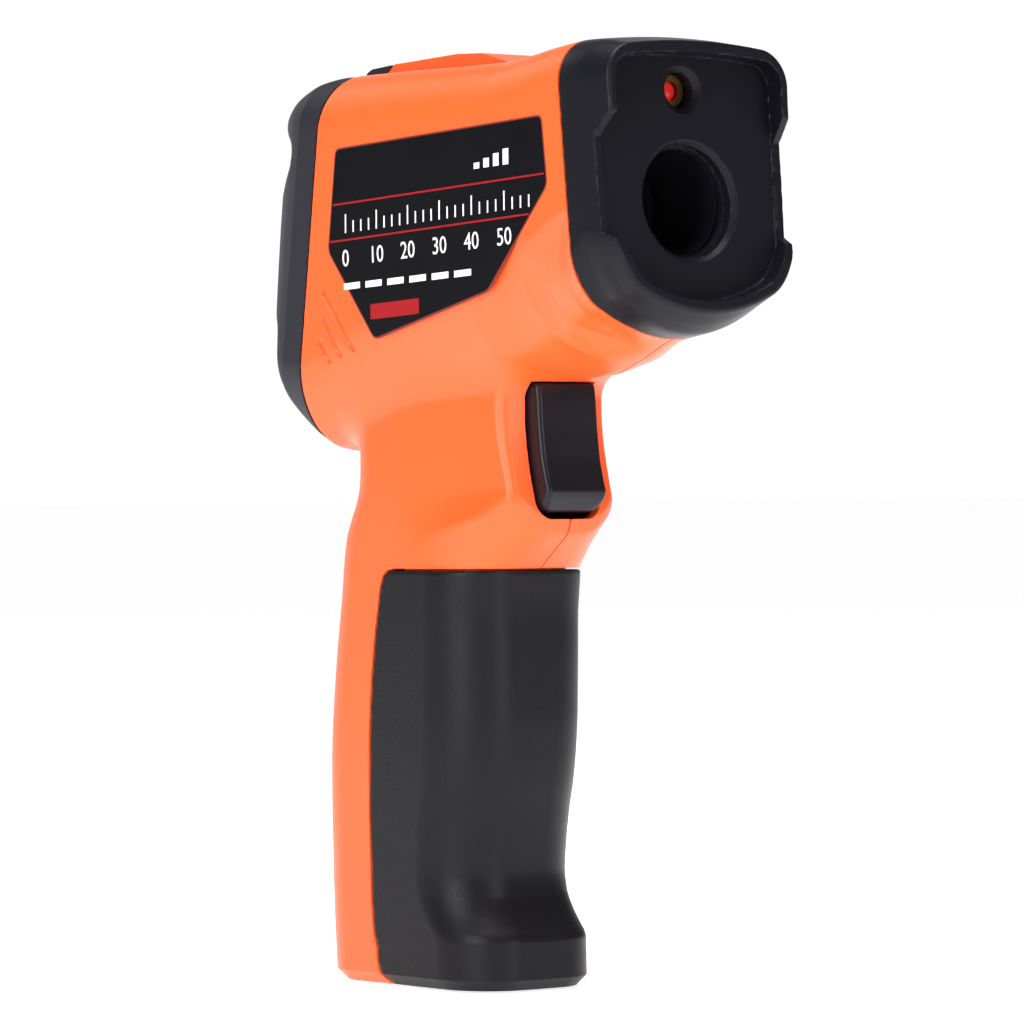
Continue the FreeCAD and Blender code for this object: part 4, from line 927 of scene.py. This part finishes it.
for hand, word in ((-1, "right"), (1, "left")):
    rim_plate = plate(grown(LABEL_OUTLINE, 0.45, 1.2), hand, 20.2, HALF_WIDTH + 0.03)
    edge = flat_piece(f"{word}_label_edge", [rim_plate], "root", PRINTS["red_edge"])
    face_plate = plate(grown(LABEL_OUTLINE, 0.15, 1.1), hand, 20.3, LABEL_TOP)
    face = flat_piece(f"{word}_label_face", [face_plate], "root", FINISHES["label_print"])
    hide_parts(f"{word}_label")
    rules = [bar(-8.95, 133.2, 58.1, RULE_HEIGHT, hand), bar(-9.85, 126.9, 55.0, RULE_HEIGHT, hand)]
    rules += [bar(1.6, 113.5, 13.6, 2.6, hand)]
    red = flat_piece(f"{word}_label_rules", rules, "root", PRINTS["red"])
    ticks = [SCALE_START + TICK_PITCH * i for i in range(24)]
    marks = [bar(x, line_height(x, TICK_FOOT), TICK_WIDTH, 2.0 if i % 4 else 3.2, hand)
             for i, x in enumerate(ticks)]
    marks += [bar(30.5 + 2.6 * i, 137.6 + 0.1 * i, 1.5, 1.0 + 0.55 * i, hand) for i in range(4)]
    dashes = [DASH_START + DASH_PITCH * i for i in range(6)]
    marks += [bar(x, line_height(x, DASH_FOOT) - 0.06 * i, 4.6, 1.1, hand) for i, x in enumerate(dashes)]
    white = flat_piece(f"{word}_label_marks", marks, "root", PRINTS["white"])
    for i in range(6):
        place = ticks[4 * i] + 0.2
        digits(f"{word}_scale_{i}", str(10 * i), place, line_height(place, NUMBER_FOOT), NUMBER_HEIGHT, hand)

# ------------------------------------------------------------------ studio

floor_mesh = bpy.data.meshes.new("floor")
FLOOR_REACH = 40.0
FLOOR_DROP = 0.0004
floor_corners = [(FLOOR_REACH * a, FLOOR_REACH * b, 0) for a, b in ((-1, -1), (1, -1), (1, 1), (-1, 1))]
floor_mesh.from_pydata(floor_corners, [], [(0, 1, 2, 3)])
floor = bpy.data.objects.new("floor", floor_mesh)
bpy.context.scene.collection.objects.link(floor)
floor.location.z = -FLOOR_DROP
floor_look = finish("pale_floor", linear(240, 240, 240), 0.75, 0.004, glow=(1.0, 1.0, 1.0, 0.82))
floor_mesh.materials.append(floor_look)


def area_light(name, place, target, size, power):
    """A soft square lamp at place, facing target."""
    lamp = bpy.data.lights.new(name, "AREA")
    lamp.shape = "RECTANGLE"
    lamp.size, lamp.size_y = size
    lamp.energy = power
    thing = bpy.data.objects.new(name, lamp)
    thing.location = place
    away = Vector(place) - Vector(target)
    thing.rotation_euler = away.to_track_quat("Z", "Y").to_euler()
    bpy.context.scene.collection.objects.link(thing)


LAMP_TARGET = (0.01, 0.0, 0.09)
HEADING = math.radians(52.0)
area_light("lamp_key", (0.34, -0.92, 0.42), LAMP_TARGET, (0.35, 0.7), 7.5)
area_light("lamp_fill", (0.95, 0.05, 0.25), LAMP_TARGET, (0.3, 0.6), 2.8)
area_light("lamp_top", (0.05, -0.05, 0.95), LAMP_TARGET, (0.7, 0.7), 10.5)
area_light("lamp_behind", (-0.95, -0.05, 0.45), LAMP_TARGET, (0.4, 0.8), 1.2)

world = bpy.data.worlds.new("studio")
world.use_nodes = True
world_nodes, world_links = world.node_tree.nodes, world.node_tree.links
sky = world_nodes["Background"]
sky.inputs["Color"].default_value = (1.0, 1.0, 1.0, 1.0)
way = world_nodes.new("ShaderNodeTexCoord")
toward = world_nodes.new("ShaderNodeVectorMath")
toward.operation = "DOT_PRODUCT"
toward.inputs[1].default_value = (-math.sin(HEADING), math.cos(HEADING), 0.0)
glowing = world_nodes.new("ShaderNodeMapRange")
glowing.interpolation_type = "SMOOTHSTEP"
glowing.inputs["From Min"].default_value = 0.86
glowing.inputs["From Max"].default_value = 0.97
glowing.inputs["To Min"].default_value = 0.13
glowing.inputs["To Max"].default_value = 1.05
world_links.new(way.outputs["Generated"], toward.inputs[0])
world_links.new(toward.outputs["Value"], glowing.inputs["Value"])
seen = world_nodes.new("ShaderNodeLightPath")
backdrop = world_nodes.new("ShaderNodeMath")
backdrop.operation = "MAXIMUM"
world_links.new(seen.outputs["Is Camera Ray"], backdrop.inputs[0])
world_links.new(glowing.outputs["Result"], backdrop.inputs[1])
world_links.new(backdrop.outputs["Value"], sky.inputs["Strength"])
bpy.context.scene.world = world
bpy.context.scene.view_settings.view_transform = "Standard"

# ------------------------------------------------------------------ camera

CAMERA_ROLL = -0.006
lens = bpy.data.cameras.new("camera")
lens.sensor_width = 36.0
lens.lens = 196.1
lens.shift_y = -0.0195
lens.clip_start = 0.05
camera = bpy.data.objects.new("camera", lens)
camera.location = (0.7618, -0.5843, 0.0841)
level = Matrix.Rotation(HEADING, 4, "Z") @ Matrix.Rotation(math.pi / 2, 4, "X")
camera.rotation_euler = (level @ Matrix.Rotation(CAMERA_ROLL, 4, "Z")).to_euler()
bpy.context.scene.collection.objects.link(camera)
bpy.context.scene.camera = camera
